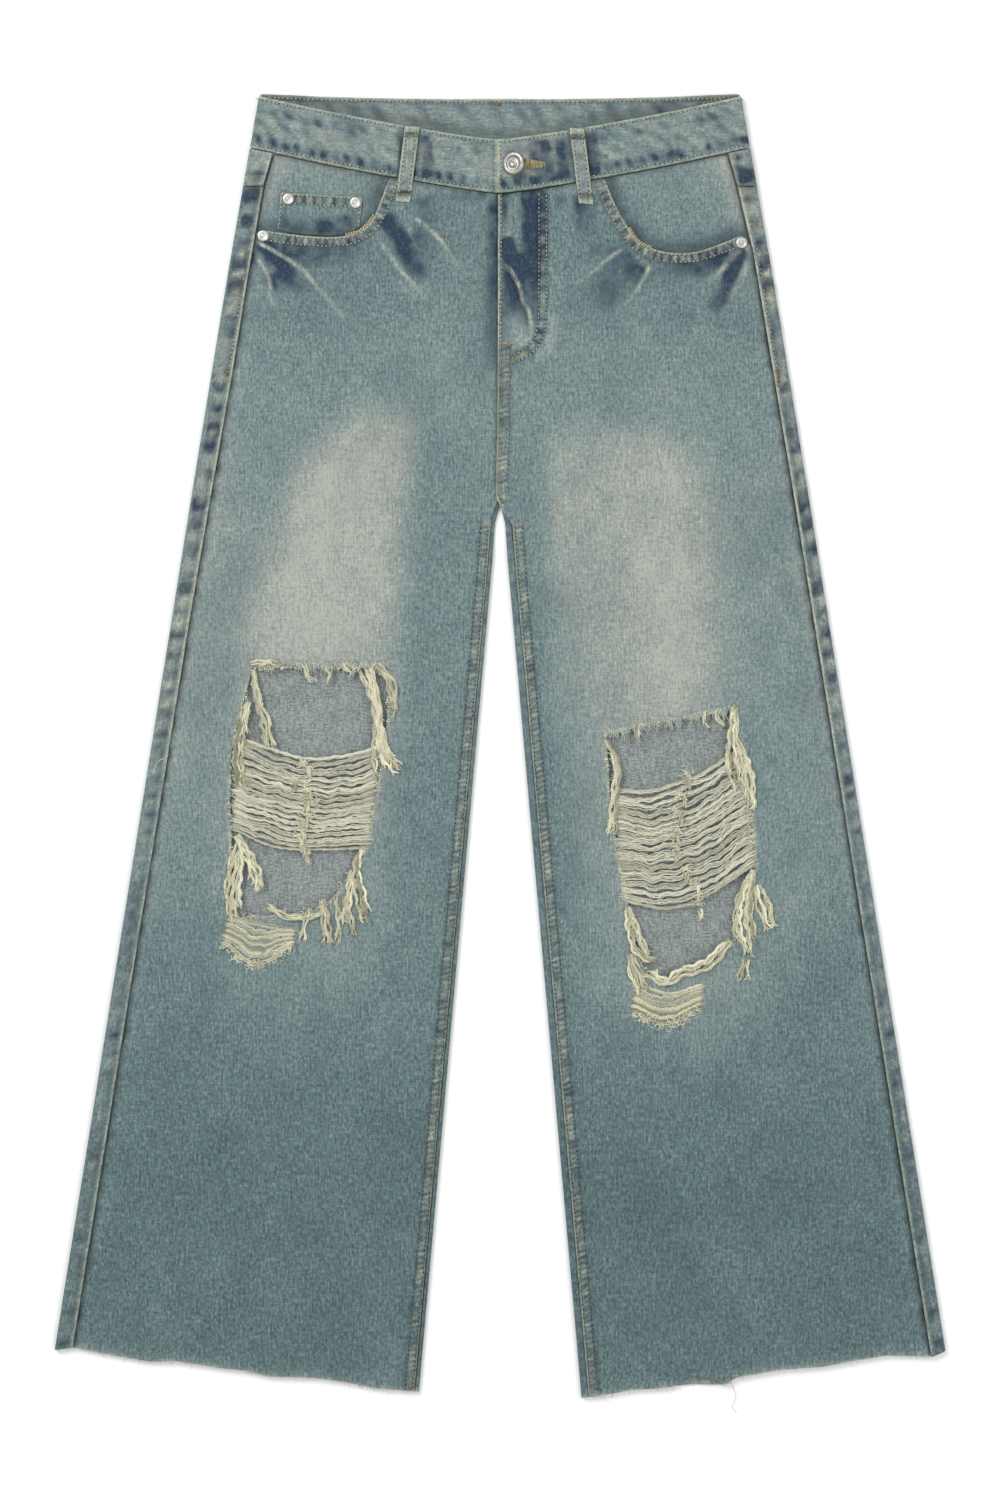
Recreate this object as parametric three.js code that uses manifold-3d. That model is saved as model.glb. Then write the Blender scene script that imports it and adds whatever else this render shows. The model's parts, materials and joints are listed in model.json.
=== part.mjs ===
// Wide-leg ripped jeans laid flat on their back: every cut and sewn piece is its own closed solid.
// Millimetres. +X is the wearer's left, +Y runs from the hems to the waist, +Z is up from the floor.
import * as THREE from 'three';
import { mergeVertices } from 'three/addons/utils/BufferGeometryUtils.js';
import Module from 'manifold-3d';

const { lerp, smoothstep, degToRad } = THREE.MathUtils;
const wasm = await Module();
wasm.setup();

// Cloth and seams
const DENIM = 1.1; // one layer of denim
const BAND = 2.4; // waistband: two layers and an interlining
const LOOP = 1.6; // belt loop strip, folded on itself
const FACING = 0.9; // lighter denim behind the pockets
const ZIP_TAPE = 0.8;
const GAP = 0.3; // between neighbouring pieces
const CLEAR = 0.55; // under a piece that lies on a curved one
const EASE = 2.3; // air between the front and the back where they lie closest
const LOFT = 1; // how much further the front arches up in the middle of each half

// Outline of the flat garment
const WAIST_Y = 527.5; // top of the back waistband at the sides
const BACK_DIP = 4; // the back waistband is this much lower in the middle
const BAND_HEIGHT = 42.5;
const BAND_SEAM = 0.9; // from the waistband down to the pieces sewn into it
const FRONT_BAND_HEIGHT = 43;
const FRONT_DIP_Y = 490.5; // top of the front waistband in the middle
const WAIST_HALF = 195; // half the flat waist, at the top edge
const CROTCH_Y = 185;
const SEAT_Y = CROTCH_Y + 11; // from here up the two halves meet at the centre seam

// [y, half width] of the side fold, and [y, half gap] of the inseam fold
const SIDE_FOLD = [[-500, 362.3], [199, 250.3], [378, 221], [WAIST_Y, WAIST_HALF]];
const INSEAM_FOLD = [[-WAIST_Y, 66], [150, 6.2], [180, 4.2], [SEAT_Y, 0.15]];

// [x, y] of the raw hems
const RIGHT_HEM = [
  [-362, -489], [-283, -498], [-211, -504.5], [-186, -510], [-150, -511], [-101, -519.5], [-64, -522.5],
];
const LEFT_HEM = [
  [64, -WAIST_Y], [93, -523], [154, -516.5], [190, -511],
  [227, -504.5], [288, -497], [325, -493.5], [362, -489],
];
const SHORT_CUT = { x: 158, reach: 22, rise: 3.5 }; // the left front is cut a little short here

// How far the seams lie in from the folds, as [y, distance]
const SIDE_SEAM_INSET = {
  right: [[-490, 14.5], [100, 14.8], [300, 17], [455, 16.6], [482, 20]],
  left: [[-490, 12.5], [200, 12], [400, 12.5], [455, 16], [482, 19]],
};
const INSEAM_INSET = { right: 3, left: 5.5 };
const SEAM_ALLOWANCE = 6; // folded over at the centre back

// Centre front: the left front laps over the right
const RIGHT_LAP_X = 6;
const LEFT_EDGE_X = -1.5;
const FLY_RISE = DENIM + 0.7;

// Yoke and back pockets
const YOKE_CENTRE_Y = 420;
const YOKE_SLOPE = 0.18;
const POCKET = { x: 98, y: 401, halfTop: 73, halfBottom: 66, side: 128, point: 150, turn: degToRad(8) };

// Belt loops
const LOOP_WIDTH = 11.8;
const LOOP_LENGTH = 61;
const BACK_LOOPS = { belt_loop_back_right: -178, belt_loop_back_centre: 0, belt_loop_back_left: 178 };
const FRONT_LOOPS = { belt_loop_front_right: [-70.9, -7.7], belt_loop_front_left: [62, 7.7] };

// Waist button and its hole
const BUTTON = { x: 15, y: 470, radius: 9.4, shank: 2.3, reach: 4.8, tilt: degToRad(-16) };
const OVERLAP_END = 38; // the left band end lies on the right one from LEFT_EDGE_X to here
const UNDERLAP_END = 36;

// Scoop pockets: [x, y] of the opening from the waistband round to the side seam
const RIGHT_SCOOP = [
  [-89.5, 459], [-94.8, 445.5], [-102, 428], [-110, 419], [-121, 413.5],
  [-136, 411.5], [-157, 412.5], [-178, 415], [-190, 417],
];
const LEFT_SCOOP = [
  [85.2, 458], [90.7, 443.5], [98, 429], [106.3, 415.5], [114.5, 406.5],
  [129, 400.5], [144.5, 398.5], [160, 400], [175.5, 405], [194, 412.5],
];
const COIN_POCKET = [[-177.4, 447.6], [-111.2, 443.9], [-115.5, 405], [-181.5, 405]];
const RIVETS = {
  rivet_coin_outer: [-171.2, 442.4],
  rivet_coin_inner: [-116.9, 439.4],
  rivet_pocket_right: [-191.6, 412.6],
  rivet_pocket_left: [195.4, 407],
};

// Torn knees: the hole, the ladder of weft threads across it, and the reach of each fringe
const RIGHT_KNEE = {
  hole: [
    [-200, 63], [-217, -3], [-218, -44], [-216, -125], [-210, -138], [-160, -135], [-144, -130],
    [-134, -121.5], [-123, -104], [-110, -83], [-100, -36], [-94, 1], [-90, 37], [-91, 63],
  ],
  ladder: [
    [-230, 8], [-181, 1], [-156, -5.5], [-128, -5], [-80, 4],
    [-80, -83], [-147, -84], [-168, -83.5], [-190, -79], [-230, -66],
  ],
  fringes: {
    top: [[-202, 66], [-202, 54], [-150, 55], [-95, 49], [-84, 56], [-84, 69]],
    outer: [[-199, 50], [-207, 34], [-218, 0], [-218, -36], [-205, -36], [-199, -2], [-181, 2], [-192, 48]],
    inner: [[-101, 46], [-86, 50], [-88, 0], [-80, -12], [-93, -28], [-106, -22], [-104, 0]],
    lower_outer: [
      [-211, -89], [-193, -115], [-208, -133], [-168, -146],
      [-169, -160], [-193, -181], [-225, -164], [-224, -125],
    ],
    lower_inner: [[-112, -85], [-105, -133], [-116, -150], [-144, -159], [-148, -136], [-134, -122]],
  },
};
const LEFT_KNEE = {
  hole: [
    [86, 10.5], [188.5, 31], [199, -27], [206.5, -97], [195, -129], [193.5, -147], [183, -166],
    [167, -177.5], [134, -189], [120, -185.5], [112, -169], [104, -128], [91.5, -64], [87, -3],
  ],
  ladder: [
    [70, -36], [121, -33], [145, -27.5], [164, -20], [215, 2],
    [215, -92], [181, -112], [164, -123], [145, -130], [127, -132], [80, -126],
  ],
  fringes: {
    top: [[83, 13], [86, 1], [140, 10], [186, 17], [190, 34]],
    outer: [[179, -8], [190.5, 26], [202, -18], [200, -44], [180, -40]],
    inner: [[84, -2], [96, -8], [99, -36], [97, -70], [88, -70], [84, -28]],
    lower_outer: [[204, -100], [221, -130], [217, -163], [201, -190], [190, -190], [192, -149]],
    lower_inner: [
      [102, -129], [114, -150], [126, -170], [133, -192],
      [161, -207], [136, -225], [110, -216], [104, -172],
    ],
  },
};

const MATERIALS = {
  denim: new THREE.MeshStandardMaterial({ color: 0x7d949b, roughness: 0.92, metalness: 0 }),
  thread: new THREE.MeshStandardMaterial({ color: 0xd6d0ad, roughness: 0.95, metalness: 0 }),
  metal: new THREE.MeshStandardMaterial({ color: 0xc9c7c0, roughness: 0.38, metalness: 1 }),
  zip: new THREE.MeshStandardMaterial({ color: 0x3d4a5c, roughness: 0.7, metalness: 0 }),
};

const jeans = new THREE.Group();

function add(name, geometry, material = MATERIALS.denim) {
  const mesh = new THREE.Mesh(geometry, material);
  mesh.name = name;
  jeans.add(mesh);
  return mesh;
}

// ---- Measures -------------------------------------------------------------------------------

// The value at t of a table of [t, value] rows in rising order, straight between rows.
function at(table, t) {
  const last = table.length - 1;
  if (t <= table[0][0]) {
    return table[0][1];
  }
  if (t >= table[last][0]) {
    return table[last][1];
  }
  const k = table.findIndex((row) => row[0] > t);
  const [t0, v0] = table[k - 1];
  const [t1, v1] = table[k];
  return lerp(v0, v1, (t - t0) / (t1 - t0));
}

// 1 up to a distance flat, falling smoothly to 0 at fade.
const near = (distance, flat, fade) => 1 - smoothstep(distance, flat, fade);
const sideOf = (x) => (x < 0 ? 'right' : 'left');
const foldX = (y) => at(SIDE_FOLD, y);
const inseamX = (y) => at(INSEAM_FOLD, y);
const seamX = (side, y) => foldX(y) - at(SIDE_SEAM_INSET[side], y);
const hemY = (x) => at(x < 0 ? RIGHT_HEM : LEFT_HEM, x);
const frontBandTop = (x) => FRONT_DIP_Y + 0.15 * (Math.hypot(x, 8) - 8) + 0.00018 * x * x;
const frontBandBottom = (x) => frontBandTop(x) - FRONT_BAND_HEIGHT;
const backBandTop = (s) => WAIST_Y - BACK_DIP * (1 - s * s);
const backBandBottom = (x) => backBandTop(Math.min(1, Math.abs(x) / 200)) - BAND_HEIGHT;

// The outline of a back pocket, for side = 1 (left) or -1 (right).
function pocketOutline(side) {
  const p = POCKET;
  const half = [[p.halfTop, 0], [p.halfBottom, -p.side]];
  const local = [...half.map(([x, y]) => [-x, y]), [0, -p.point], ...half.toReversed()];
  return local.map(([x, y]) => [
    side * (p.x + x * Math.cos(p.turn) - y * Math.sin(p.turn)),
    p.y + x * Math.sin(p.turn) + y * Math.cos(p.turn),
  ]);
}
const POCKETS = { left: pocketOutline(1), right: pocketOutline(-1) };

// How far a point lies outside a convex outline, negative inside it.
function outsideOf(outline, x, y) {
  const turns = Math.sign(THREE.ShapeUtils.area(outline.map(([u, v]) => new THREE.Vector2(u, v))));
  return Math.max(...outline.map(([x0, y0], i) => {
    const [x1, y1] = outline[(i + 1) % outline.length];
    const length = Math.hypot(x1 - x0, y1 - y0);
    return (turns * ((y1 - y0) * (x - x0) - (x1 - x0) * (y - y0))) / length;
  }));
}

// ---- Heights --------------------------------------------------------------------------------

// Underside of the back: on the floor, and lifted over the belt loops and pockets beneath it.
function underside(x, y) {
  const overLoops = Object.values(BACK_LOOPS).map((loopX) =>
    (LOOP + CLEAR) * near(Math.abs(x - loopX), 9, 34) * near(463 - y, 0, 30));
  const overPocket = (DENIM + CLEAR) * near(outsideOf(POCKETS[sideOf(x)], x, y), 8, 36);
  return Math.max(overPocket, ...overLoops);
}

// Underside of the front, arched a little between its inner edge and its side seam.
function frontUnder(x, y) {
  const inner = inseamX(y);
  const u = THREE.MathUtils.clamp((Math.abs(x) - inner) / (seamX(sideOf(x), y) - inner), 0, 1);
  return underside(x, y) + DENIM + EASE + LOFT * 4 * u * (1 - u);
}
const flyRise = (x, y) => FLY_RISE * near(x, 10, 34) * near(188 - y, 0, 22);
const leftFrontUnder = (x, y) => frontUnder(x, y) + flyRise(x, y);
const frontTop = (x, y) => (x < 0 ? frontUnder(x, y) : leftFrontUnder(x, y)) + DENIM;
const bandFrontUnder = (x) => underside(x, 505) + BAND + 0.6;
const overlapRise = (x) => (BAND + GAP) * near(x, OVERLAP_END, OVERLAP_END + 24);

// ---- Solids ---------------------------------------------------------------------------------

// A closed wall from a grid of [outside point, inside point] pairs.
function wall(rows) {
  const [tall, wide] = [rows.length, rows[0].length];
  const positions = [0, 1].flatMap((face) => rows.flatMap((row) => row.flatMap((pair) => pair[face])));
  const id = (face, i, j) => face * tall * wide + i * wide + j;
  const triangles = [];
  const quad = (a, b, c, d) => triangles.push(a, b, c, a, c, d);
  for (let i = 0; i + 1 < tall; i++) {
    for (let j = 0; j + 1 < wide; j++) {
      quad(id(0, i, j), id(0, i, j + 1), id(0, i + 1, j + 1), id(0, i + 1, j));
      quad(id(1, i, j), id(1, i + 1, j), id(1, i + 1, j + 1), id(1, i, j + 1));
    }
    quad(id(0, i, 0), id(0, i + 1, 0), id(1, i + 1, 0), id(1, i, 0));
    quad(id(0, i, wide - 1), id(1, i, wide - 1), id(1, i + 1, wide - 1), id(0, i + 1, wide - 1));
  }
  for (let j = 0; j + 1 < wide; j++) {
    quad(id(0, 0, j), id(1, 0, j), id(1, 0, j + 1), id(0, 0, j + 1));
    quad(id(0, tall - 1, j), id(0, tall - 1, j + 1), id(1, tall - 1, j + 1), id(1, tall - 1, j));
  }
  if (volumeOf(positions, triangles) < 0) {
    triangles.reverse();
  }
  const geometry = new THREE.BufferGeometry();
  geometry.setAttribute('position', new THREE.Float32BufferAttribute(positions, 3));
  geometry.setIndex(triangles);
  geometry.computeVertexNormals();
  return geometry;
}

function volumeOf(positions, triangles) {
  const corner = (k) => new THREE.Vector3().fromArray(positions, 3 * triangles[k]);
  let volume = 0;
  for (let k = 0; k < triangles.length; k += 3) {
    volume += corner(k).dot(corner(k + 1).cross(corner(k + 2))) / 6;
  }
  return volume;
}

// A sheet over a grid of [x, y] points, between two height functions.
function sheet(points, low, high) {
  return wall(points.map((row) => row.map(([x, y]) => [[x, y, high(x, y)], [x, y, low(x, y)]])));
}

// A plate inside an outline, between two height functions.
function plate(outline, low, high) {
  const shape = new THREE.Shape(outline.map(([x, y]) => new THREE.Vector2(x, y)));
  const geometry = new THREE.ExtrudeGeometry(shape, { depth: 1, bevelEnabled: false, steps: 1 });
  const place = geometry.attributes.position;
  for (let k = 0; k < place.count; k++) {
    const [x, y] = [place.getX(k), place.getY(k)];
    place.setZ(k, place.getZ(k) < 0.5 ? low(x, y) : high(x, y));
  }
  geometry.computeVertexNormals();
  return geometry;
}
const prism = (outline, z0 = -10, z1 = 40) => plate(outline, () => z0, () => z1);

function toSolid(geometry) {
  const bare = geometry.clone();
  bare.deleteAttribute('normal');
  bare.deleteAttribute('uv');
  const merged = mergeVertices(bare, 1e-4);
  return new wasm.Manifold(new wasm.Mesh({
    numProp: 3,
    vertProperties: merged.attributes.position.array,
    triVerts: new Uint32Array(merged.index.array),
  }));
}

function toGeometry(solid) {
  const mesh = solid.getMesh();
  const geometry = new THREE.BufferGeometry();
  geometry.setAttribute('position', new THREE.BufferAttribute(mesh.vertProperties, 3));
  geometry.setIndex(new THREE.BufferAttribute(mesh.triVerts, 1));
  geometry.computeVertexNormals();
  return geometry;
}
const cut = (geometry, ...tools) =>
  toGeometry(tools.reduce((solid, tool) => solid.subtract(toSolid(tool)), toSolid(geometry)));
const within = (geometry, tool) => toGeometry(toSolid(geometry).intersect(toSolid(tool)));

// The outline moved inwards by a distance, corner by corner.
function inset(outline, distance) {
  const points = outline.map(([x, y]) => new THREE.Vector2(x, y));
  const turns = Math.sign(THREE.ShapeUtils.area(points));
  const normal = (a, b) => new THREE.Vector2(a.y - b.y, b.x - a.x).normalize().multiplyScalar(turns);
  return points.map((p, i) => {
    const before = points.at(i - 1);
    const after = points[(i + 1) % points.length];
    const way = normal(before, p).add(normal(p, after));
    way.multiplyScalar((2 * distance) / way.lengthSq());
    return [p.x + way.x, p.y + way.y];
  });
}

// ---- Backs and yokes ------------------------------------------------------------------------

const ARC = [0, 0.25, 0.5, 0.75, 1];
const ACROSS = [0.08, 0.18, 0.29, 0.4, 0.51, 0.62, 0.73, 0.84, 0.94];

// One station across a back half at height y: the seam allowance or inseam flap, the inner fold,
// the underside, the side fold, and the strip that comes round to the side seam on the front.
// Each point is [x, z, outward x, outward z, where], and x is measured out from the middle.
function backStation(side, y) {
  const sign = side === 'left' ? 1 : -1;
  const low = (x) => underside(sign * x, y);
  const inner = inseamX(y);
  const flapTop = at([[158, 2 * DENIM + EASE], [166, 2 * DENIM + GAP]], y);
  const flapEnd = inner + at([[169, INSEAM_INSET[side]], [179, SEAM_ALLOWANCE]], y);
  const innerRadius = flapTop / 2;
  const outer = foldX(y);
  const seam = seamX(side, y);
  const stripTop = low(seam) + 2 * DENIM + EASE + 0.4;
  const outerRadius = (stripTop - low(outer)) / 2;
  const arc = (x, z, radius, from, to, where) => ARC.map((t) => {
    const angle = degToRad(lerp(from, to, t));
    const [nx, nz] = [Math.cos(angle), Math.sin(angle)];
    return [x + radius * nx, z + radius * nz, nx, nz, where];
  });
  const innerZ = low(inner) + innerRadius;
  const outerZ = low(outer) + outerRadius;
  const [x0, x1] = [inner + innerRadius, outer - outerRadius];
  return [
    [flapEnd, innerZ + innerRadius, 0, 1, 'back'],
    ...arc(x0, innerZ, innerRadius, 90, 270, 'back'),
    ...ACROSS.map((t) => lerp(x0, x1, t)).map((x) => [x, low(x), 0, -1, 'back']),
    ...arc(x1, outerZ, outerRadius, -90, 90, 'fold'),
    [seam, stripTop, 0, 1, 'front'],
  ];
}

// A back piece between two edges, each a function of a station point that gives its y.
function backPiece(side, lowEdge, highEdge, shares) {
  const sign = side === 'left' ? 1 : -1;
  const settle = (edge, guess, j) => {
    let y = guess;
    for (let k = 0; k < 4; k++) {
      y = edge(backStation(side, y)[j], sign);
    }
    return y;
  };
  const count = backStation(side, 0).length;
  const lows = Array.from({ length: count }, (_, j) => settle(lowEdge, -500, j));
  const highs = Array.from({ length: count }, (_, j) => settle(highEdge, 470, j));
  return wall(shares.map((share) => lows.map((low, j) => {
    const y = lerp(low, highs[j], share);
    const [x, z, nx, nz] = backStation(side, y)[j];
    return [[sign * x, y, z], [sign * (x - DENIM * nx), y, z - DENIM * nz]];
  })));
}

const hemEdge = ([x], sign) => hemY(sign * x);
const yokeEdge = (offset) => ([x, , , , where]) =>
  offset + (where === 'front' ? YOKE_CENTRE_Y + YOKE_SLOPE * 180 : YOKE_CENTRE_Y + YOKE_SLOPE * x);
const waistEdge = ([x, , , nz, where]) => {
  const onFront = where === 'front' ? 1 : where === 'fold' ? (1 + nz) / 2 : 0;
  return lerp(backBandBottom(x), frontBandBottom(x), onFront) - BAND_SEAM;
};
const BACK_SHARES = [
  0, 0.12, 0.25, 0.38, 0.5, 0.62, 0.7, 0.728, 0.738, 0.748, 0.76,
  0.785, 0.81, 0.835, 0.86, 0.885, 0.91, 0.935, 0.96, 0.98, 1,
];
const YOKE_SHARES = [0, 0.33, 0.66, 1];

for (const side of ['right', 'left']) {
  add(`back_${side}`, backPiece(side, hemEdge, yokeEdge(-GAP), BACK_SHARES));
  add(`yoke_${side}`, backPiece(side, yokeEdge(GAP), waistEdge, YOKE_SHARES));
  add(`back_pocket_${side}`, plate(POCKETS[side], () => 0, () => DENIM));
}

// ---- Fronts ---------------------------------------------------------------------------------

// [y, x] of each front's inner edge: the lap at the centre, then the inseam
const legEdge = (side, y) => inseamX(y) + INSEAM_INSET[side] + GAP;
const alongInseam = (side, sign) => [-WAIST_Y, 150, 179].map((y) => [y, sign * legEdge(side, y)]);
const INNER_EDGE = {
  right: [...alongInseam('right', -1), [190, -5], [206, 1], [230, RIGHT_LAP_X]],
  left: [
    ...alongInseam('left', 1), [190, 2], [200, -3], [215, -3.5], [260, LEFT_EDGE_X - 0.5], [WAIST_Y, LEFT_EDGE_X],
  ],
};
const FRONT_COLUMNS = [0, 0.05, 0.11, 0.18, 0.29, 0.42, 0.55, 0.68, 0.8, 0.91, 1];
const FRONT_SHARES = [
  0, 0.09, 0.19, 0.29, 0.39, 0.49, 0.59, 0.66, 0.6935, 0.7224,
  0.7345, 0.746, 0.76, 0.785, 0.82, 0.86, 0.9, 0.94, 0.97, 1,
];

// The [x, y] grid of a front, from its hem to the waistband.
function frontGrid(side) {
  const sign = side === 'left' ? 1 : -1;
  const x = (u, y) => lerp(at(INNER_EDGE[side], y), sign * (seamX(side, y) - GAP), u);
  const settle = (edge, guess, u) => {
    let y = guess;
    for (let k = 0; k < 4; k++) {
      y = edge(x(u, y));
    }
    return y;
  };
  const rise = side === 'left' ? SHORT_CUT.rise : 0;
  const shortCut = (px) => rise * near(Math.abs(px - SHORT_CUT.x), 6, SHORT_CUT.reach);
  const lows = FRONT_COLUMNS.map((u) => settle((px) => hemY(px) + shortCut(px), -500, u));
  const highs = FRONT_COLUMNS.map((u) => settle((px) => frontBandBottom(px) - BAND_SEAM, 470, u));
  return FRONT_SHARES.map((share) => FRONT_COLUMNS.map((u, j) => {
    const y = lerp(lows[j], highs[j], share);
    return [x(u, y), y];
  }));
}

// What a scoop pocket takes out of a front: its curve, closed round the top and the side.
function scoopOutline(curve) {
  const sign = Math.sign(curve[0][0]);
  return [...curve, [sign * 230, curve.at(-1)[1]], [sign * 230, 500], [curve[0][0], 500]];
}

const SCOOPS = { right: scoopOutline(RIGHT_SCOOP), left: scoopOutline(LEFT_SCOOP) };
const KNEES = { right: RIGHT_KNEE, left: LEFT_KNEE };
const UNDER = { right: frontUnder, left: leftFrontUnder };

for (const side of ['right', 'left']) {
  const under = UNDER[side];
  const panel = sheet(frontGrid(side), under, (x, y) => under(x, y) + DENIM);
  add(`front_${side}`, cut(panel, prism(SCOOPS[side]), prism(KNEES[side].hole)));
}

// Pocket facings: the denim that shows inside each scoop, sewn under the front.
const EIGHTHS = Array.from({ length: 9 }, (_, k) => k / 8);
const FACING_DEPTH = { right: 392, left: 380 };
for (const side of ['right', 'left']) {
  const sign = side === 'left' ? 1 : -1;
  const grid = EIGHTHS.map((share) => EIGHTHS.map((u) => {
    const x = (y) => sign * lerp(76, seamX(side, y) - 1, u);
    const top = frontBandBottom(x(470)) - BAND_SEAM;
    const y = lerp(FACING_DEPTH[side], top, share);
    return [x(y), y];
  }));
  const top = (x, y) => frontUnder(x, y) - CLEAR;
  add(`pocket_facing_${side}`, sheet(grid, (x, y) => top(x, y) - FACING, top));
}

// Coin pocket: on the right facing, and cut off where it would pass under the front's edge.
const [topOuter, topInner, lowInner, lowOuter] = COIN_POCKET.map(([x, y]) => new THREE.Vector2(x, y));
const coinGrid = EIGHTHS.map((share) => EIGHTHS.map((u) => {
  const top = topOuter.clone().lerp(topInner, u);
  return lowOuter.clone().lerp(lowInner, u).lerp(top, share).toArray();
}));
const coinUnder = (x, y) => frontUnder(x, y) - 0.1;
const coinSheet = sheet(coinGrid, coinUnder, (x, y) => coinUnder(x, y) + DENIM);
add('coin_pocket', within(coinSheet, prism(inset(SCOOPS.right, 0.6))));

// Zip: closed, and hidden under the left front's fly.
const zipGrid = [332, 365, 398, 414, 425, 435, 444].map((y) => [6.6, 11, 16, 21, 26].map((x) => [x, y]));
const zipTop = (x, y) => leftFrontUnder(x, y) - 2 * CLEAR;
add('fly_zip', sheet(zipGrid, (x, y) => zipTop(x, y) - ZIP_TAPE, zipTop), MATERIALS.zip);

// ---- Waistband and belt loops ---------------------------------------------------------------

const BAND_FOLD = (2 * BAND + 0.6) / 2;
const BAND_TOP_HALF = WAIST_HALF - BAND_FOLD;
const BAND_BOTTOM_HALF = foldX(WAIST_Y - BAND_HEIGHT) - BAND_FOLD;

// One station of the band: its two edges as [outside point, inside point] pairs.
function bandStation(s, onFront, angle, rise) {
  const [nx, nz] = [Math.cos(angle), Math.sin(angle)];
  const edge = (half, y) => {
    const x = s * half;
    const middle = underside(x, 505) + BAND_FOLD;
    const point = (radius) => [x + radius * nx, y, middle + radius * nz + rise];
    return [point(BAND_FOLD), point(BAND_FOLD - BAND)];
  };
  const [topX, bottomX] = [s * BAND_TOP_HALF, s * BAND_BOTTOM_HALF];
  return [
    edge(BAND_TOP_HALF, lerp(backBandTop(s), frontBandTop(topX), onFront)),
    edge(BAND_BOTTOM_HALF, lerp(backBandBottom(bottomX), frontBandBottom(bottomX), onFront)),
  ];
}

function waistband() {
  const flat = (xs, onFront, rise) => xs.map((x) =>
    bandStation(x / BAND_TOP_HALF, onFront, degToRad(onFront ? 90 : -90), rise(x)));
  const fold = (s, from, to) => [0.2, 0.4, 0.6, 0.8].map((t) => {
    const angle = degToRad(lerp(from, to, t));
    return bandStation(s, (1 + Math.sin(angle)) / 2, angle, 0);
  });
  const none = () => 0;
  const mirrored = (xs) => xs.map((x) => -x);
  const half = [0, 10, 22, 32, 45, 70, 100, 125, 144, 156, 168, 178, 186, BAND_TOP_HALF];
  const underlap = [UNDERLAP_END, 20, 10, ...mirrored(half)];
  const back = [...mirrored(half.slice(1)).toReversed(), ...half];
  const lift = [0, 6, 12, 18, 24].map((step) => OVERLAP_END + step);
  const overlap = [LEFT_EDGE_X - 0.7, 10, 22, ...lift, 76, ...half.slice(6)];
  return wall([
    ...flat(underlap, 1, none),
    ...fold(-1, 90, 270),
    ...flat(back, 0, none),
    ...fold(1, -90, 90),
    ...flat(overlap.toReversed(), 1, overlapRise),
  ]);
}
const holeZ = bandFrontUnder(BUTTON.x) + BAND + GAP / 2;
const holeHalf = [[BUTTON.x - 3.2, 3], [BUTTON.x + 3.5, 3], [35, 0.8]];
const buttonhole = [
  ...holeHalf.map(([x, half]) => [x, BUTTON.y - half]),
  ...holeHalf.toReversed().map(([x, half]) => [x, BUTTON.y + half]),
];
add('waistband', cut(waistband(), prism(buttonhole, holeZ)));

// A belt loop on the front: it lies on the band and its tail comes down onto the front.
function frontLoop([topX, lean]) {
  const drops = [0, 10, 21, 32, FRONT_BAND_HEIGHT + 1.5, 53, LOOP_LENGTH];
  return wall(drops.map((drop) => [-0.5, 0.5].map((half) => {
    const x = topX + half * LOOP_WIDTH + (lean * drop) / LOOP_LENGTH;
    const y = frontBandTop(topX) - drop - 0.1 * half * LOOP_WIDTH;
    const bandTop = bandFrontUnder(x) + BAND;
    const tail = smoothstep(drop, FRONT_BAND_HEIGHT + 1.5, LOOP_LENGTH - 2);
    const bulge = 0.8 * near(Math.abs(drop - 21), 0, 21);
    const low = lerp(bandTop, frontTop(x, y), tail) + CLEAR + bulge;
    return [[x, y, low + LOOP], [x, y, low]];
  })));
}
for (const [name, place] of Object.entries(FRONT_LOOPS)) {
  add(name, frontLoop(place));
}

// A belt loop on the back lies flat on the floor under the band and the yoke.
for (const [name, x] of Object.entries(BACK_LOOPS)) {
  const geometry = new THREE.BoxGeometry(LOOP_WIDTH, LOOP_LENGTH, LOOP);
  const top = backBandTop(x / BAND_TOP_HALF);
  add(name, geometry).position.set(x, top - LOOP_LENGTH / 2, LOOP / 2);
}

// ---- Metal ----------------------------------------------------------------------------------

// A solid of revolution about +Z from [radius, height] points that start and end on the axis.
function turned(profile, segments = 20) {
  const geometry = new THREE.LatheGeometry(profile.map(([r, h]) => new THREE.Vector2(r, h)), segments);
  return geometry.rotateX(Math.PI / 2);
}

const { radius: capRadius, shank, reach } = BUTTON;
const buttonProfile = [
  [0, 0], [shank, 0], [shank, reach], [capRadius - 0.8, reach + 0.5], [capRadius, reach + 1.4],
  [capRadius - 0.7, reach + 2.5], [5.4, reach + 2.3], [4.8, reach + 1.5], [2.4, reach + 1.5],
  [1.9, reach + 2.3], [0, reach + 2.5],
];
const button = add('waist_button', turned(buttonProfile), MATERIALS.metal);
button.position.set(BUTTON.x, BUTTON.y, bandFrontUnder(BUTTON.x) + BAND + 1.3);
button.rotation.y = BUTTON.tilt;

const rivetProfile = [[0, 0], [4.6, 0], [4.6, 0.5], [4, 1.2], [2.3, 1.2], [1.8, 0.8], [1, 1.5], [0, 1.6]];
for (const [name, [x, y]] of Object.entries(RIVETS)) {
  const cloth = name.startsWith('rivet_coin') ? coinUnder(x, y) + DENIM + 0.1 : frontTop(x, y) + 0.1;
  add(name, turned(rivetProfile, 16), MATERIALS.metal).position.set(x, y, cloth + CLEAR);
}

// ---- Torn knees -----------------------------------------------------------------------------

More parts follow.
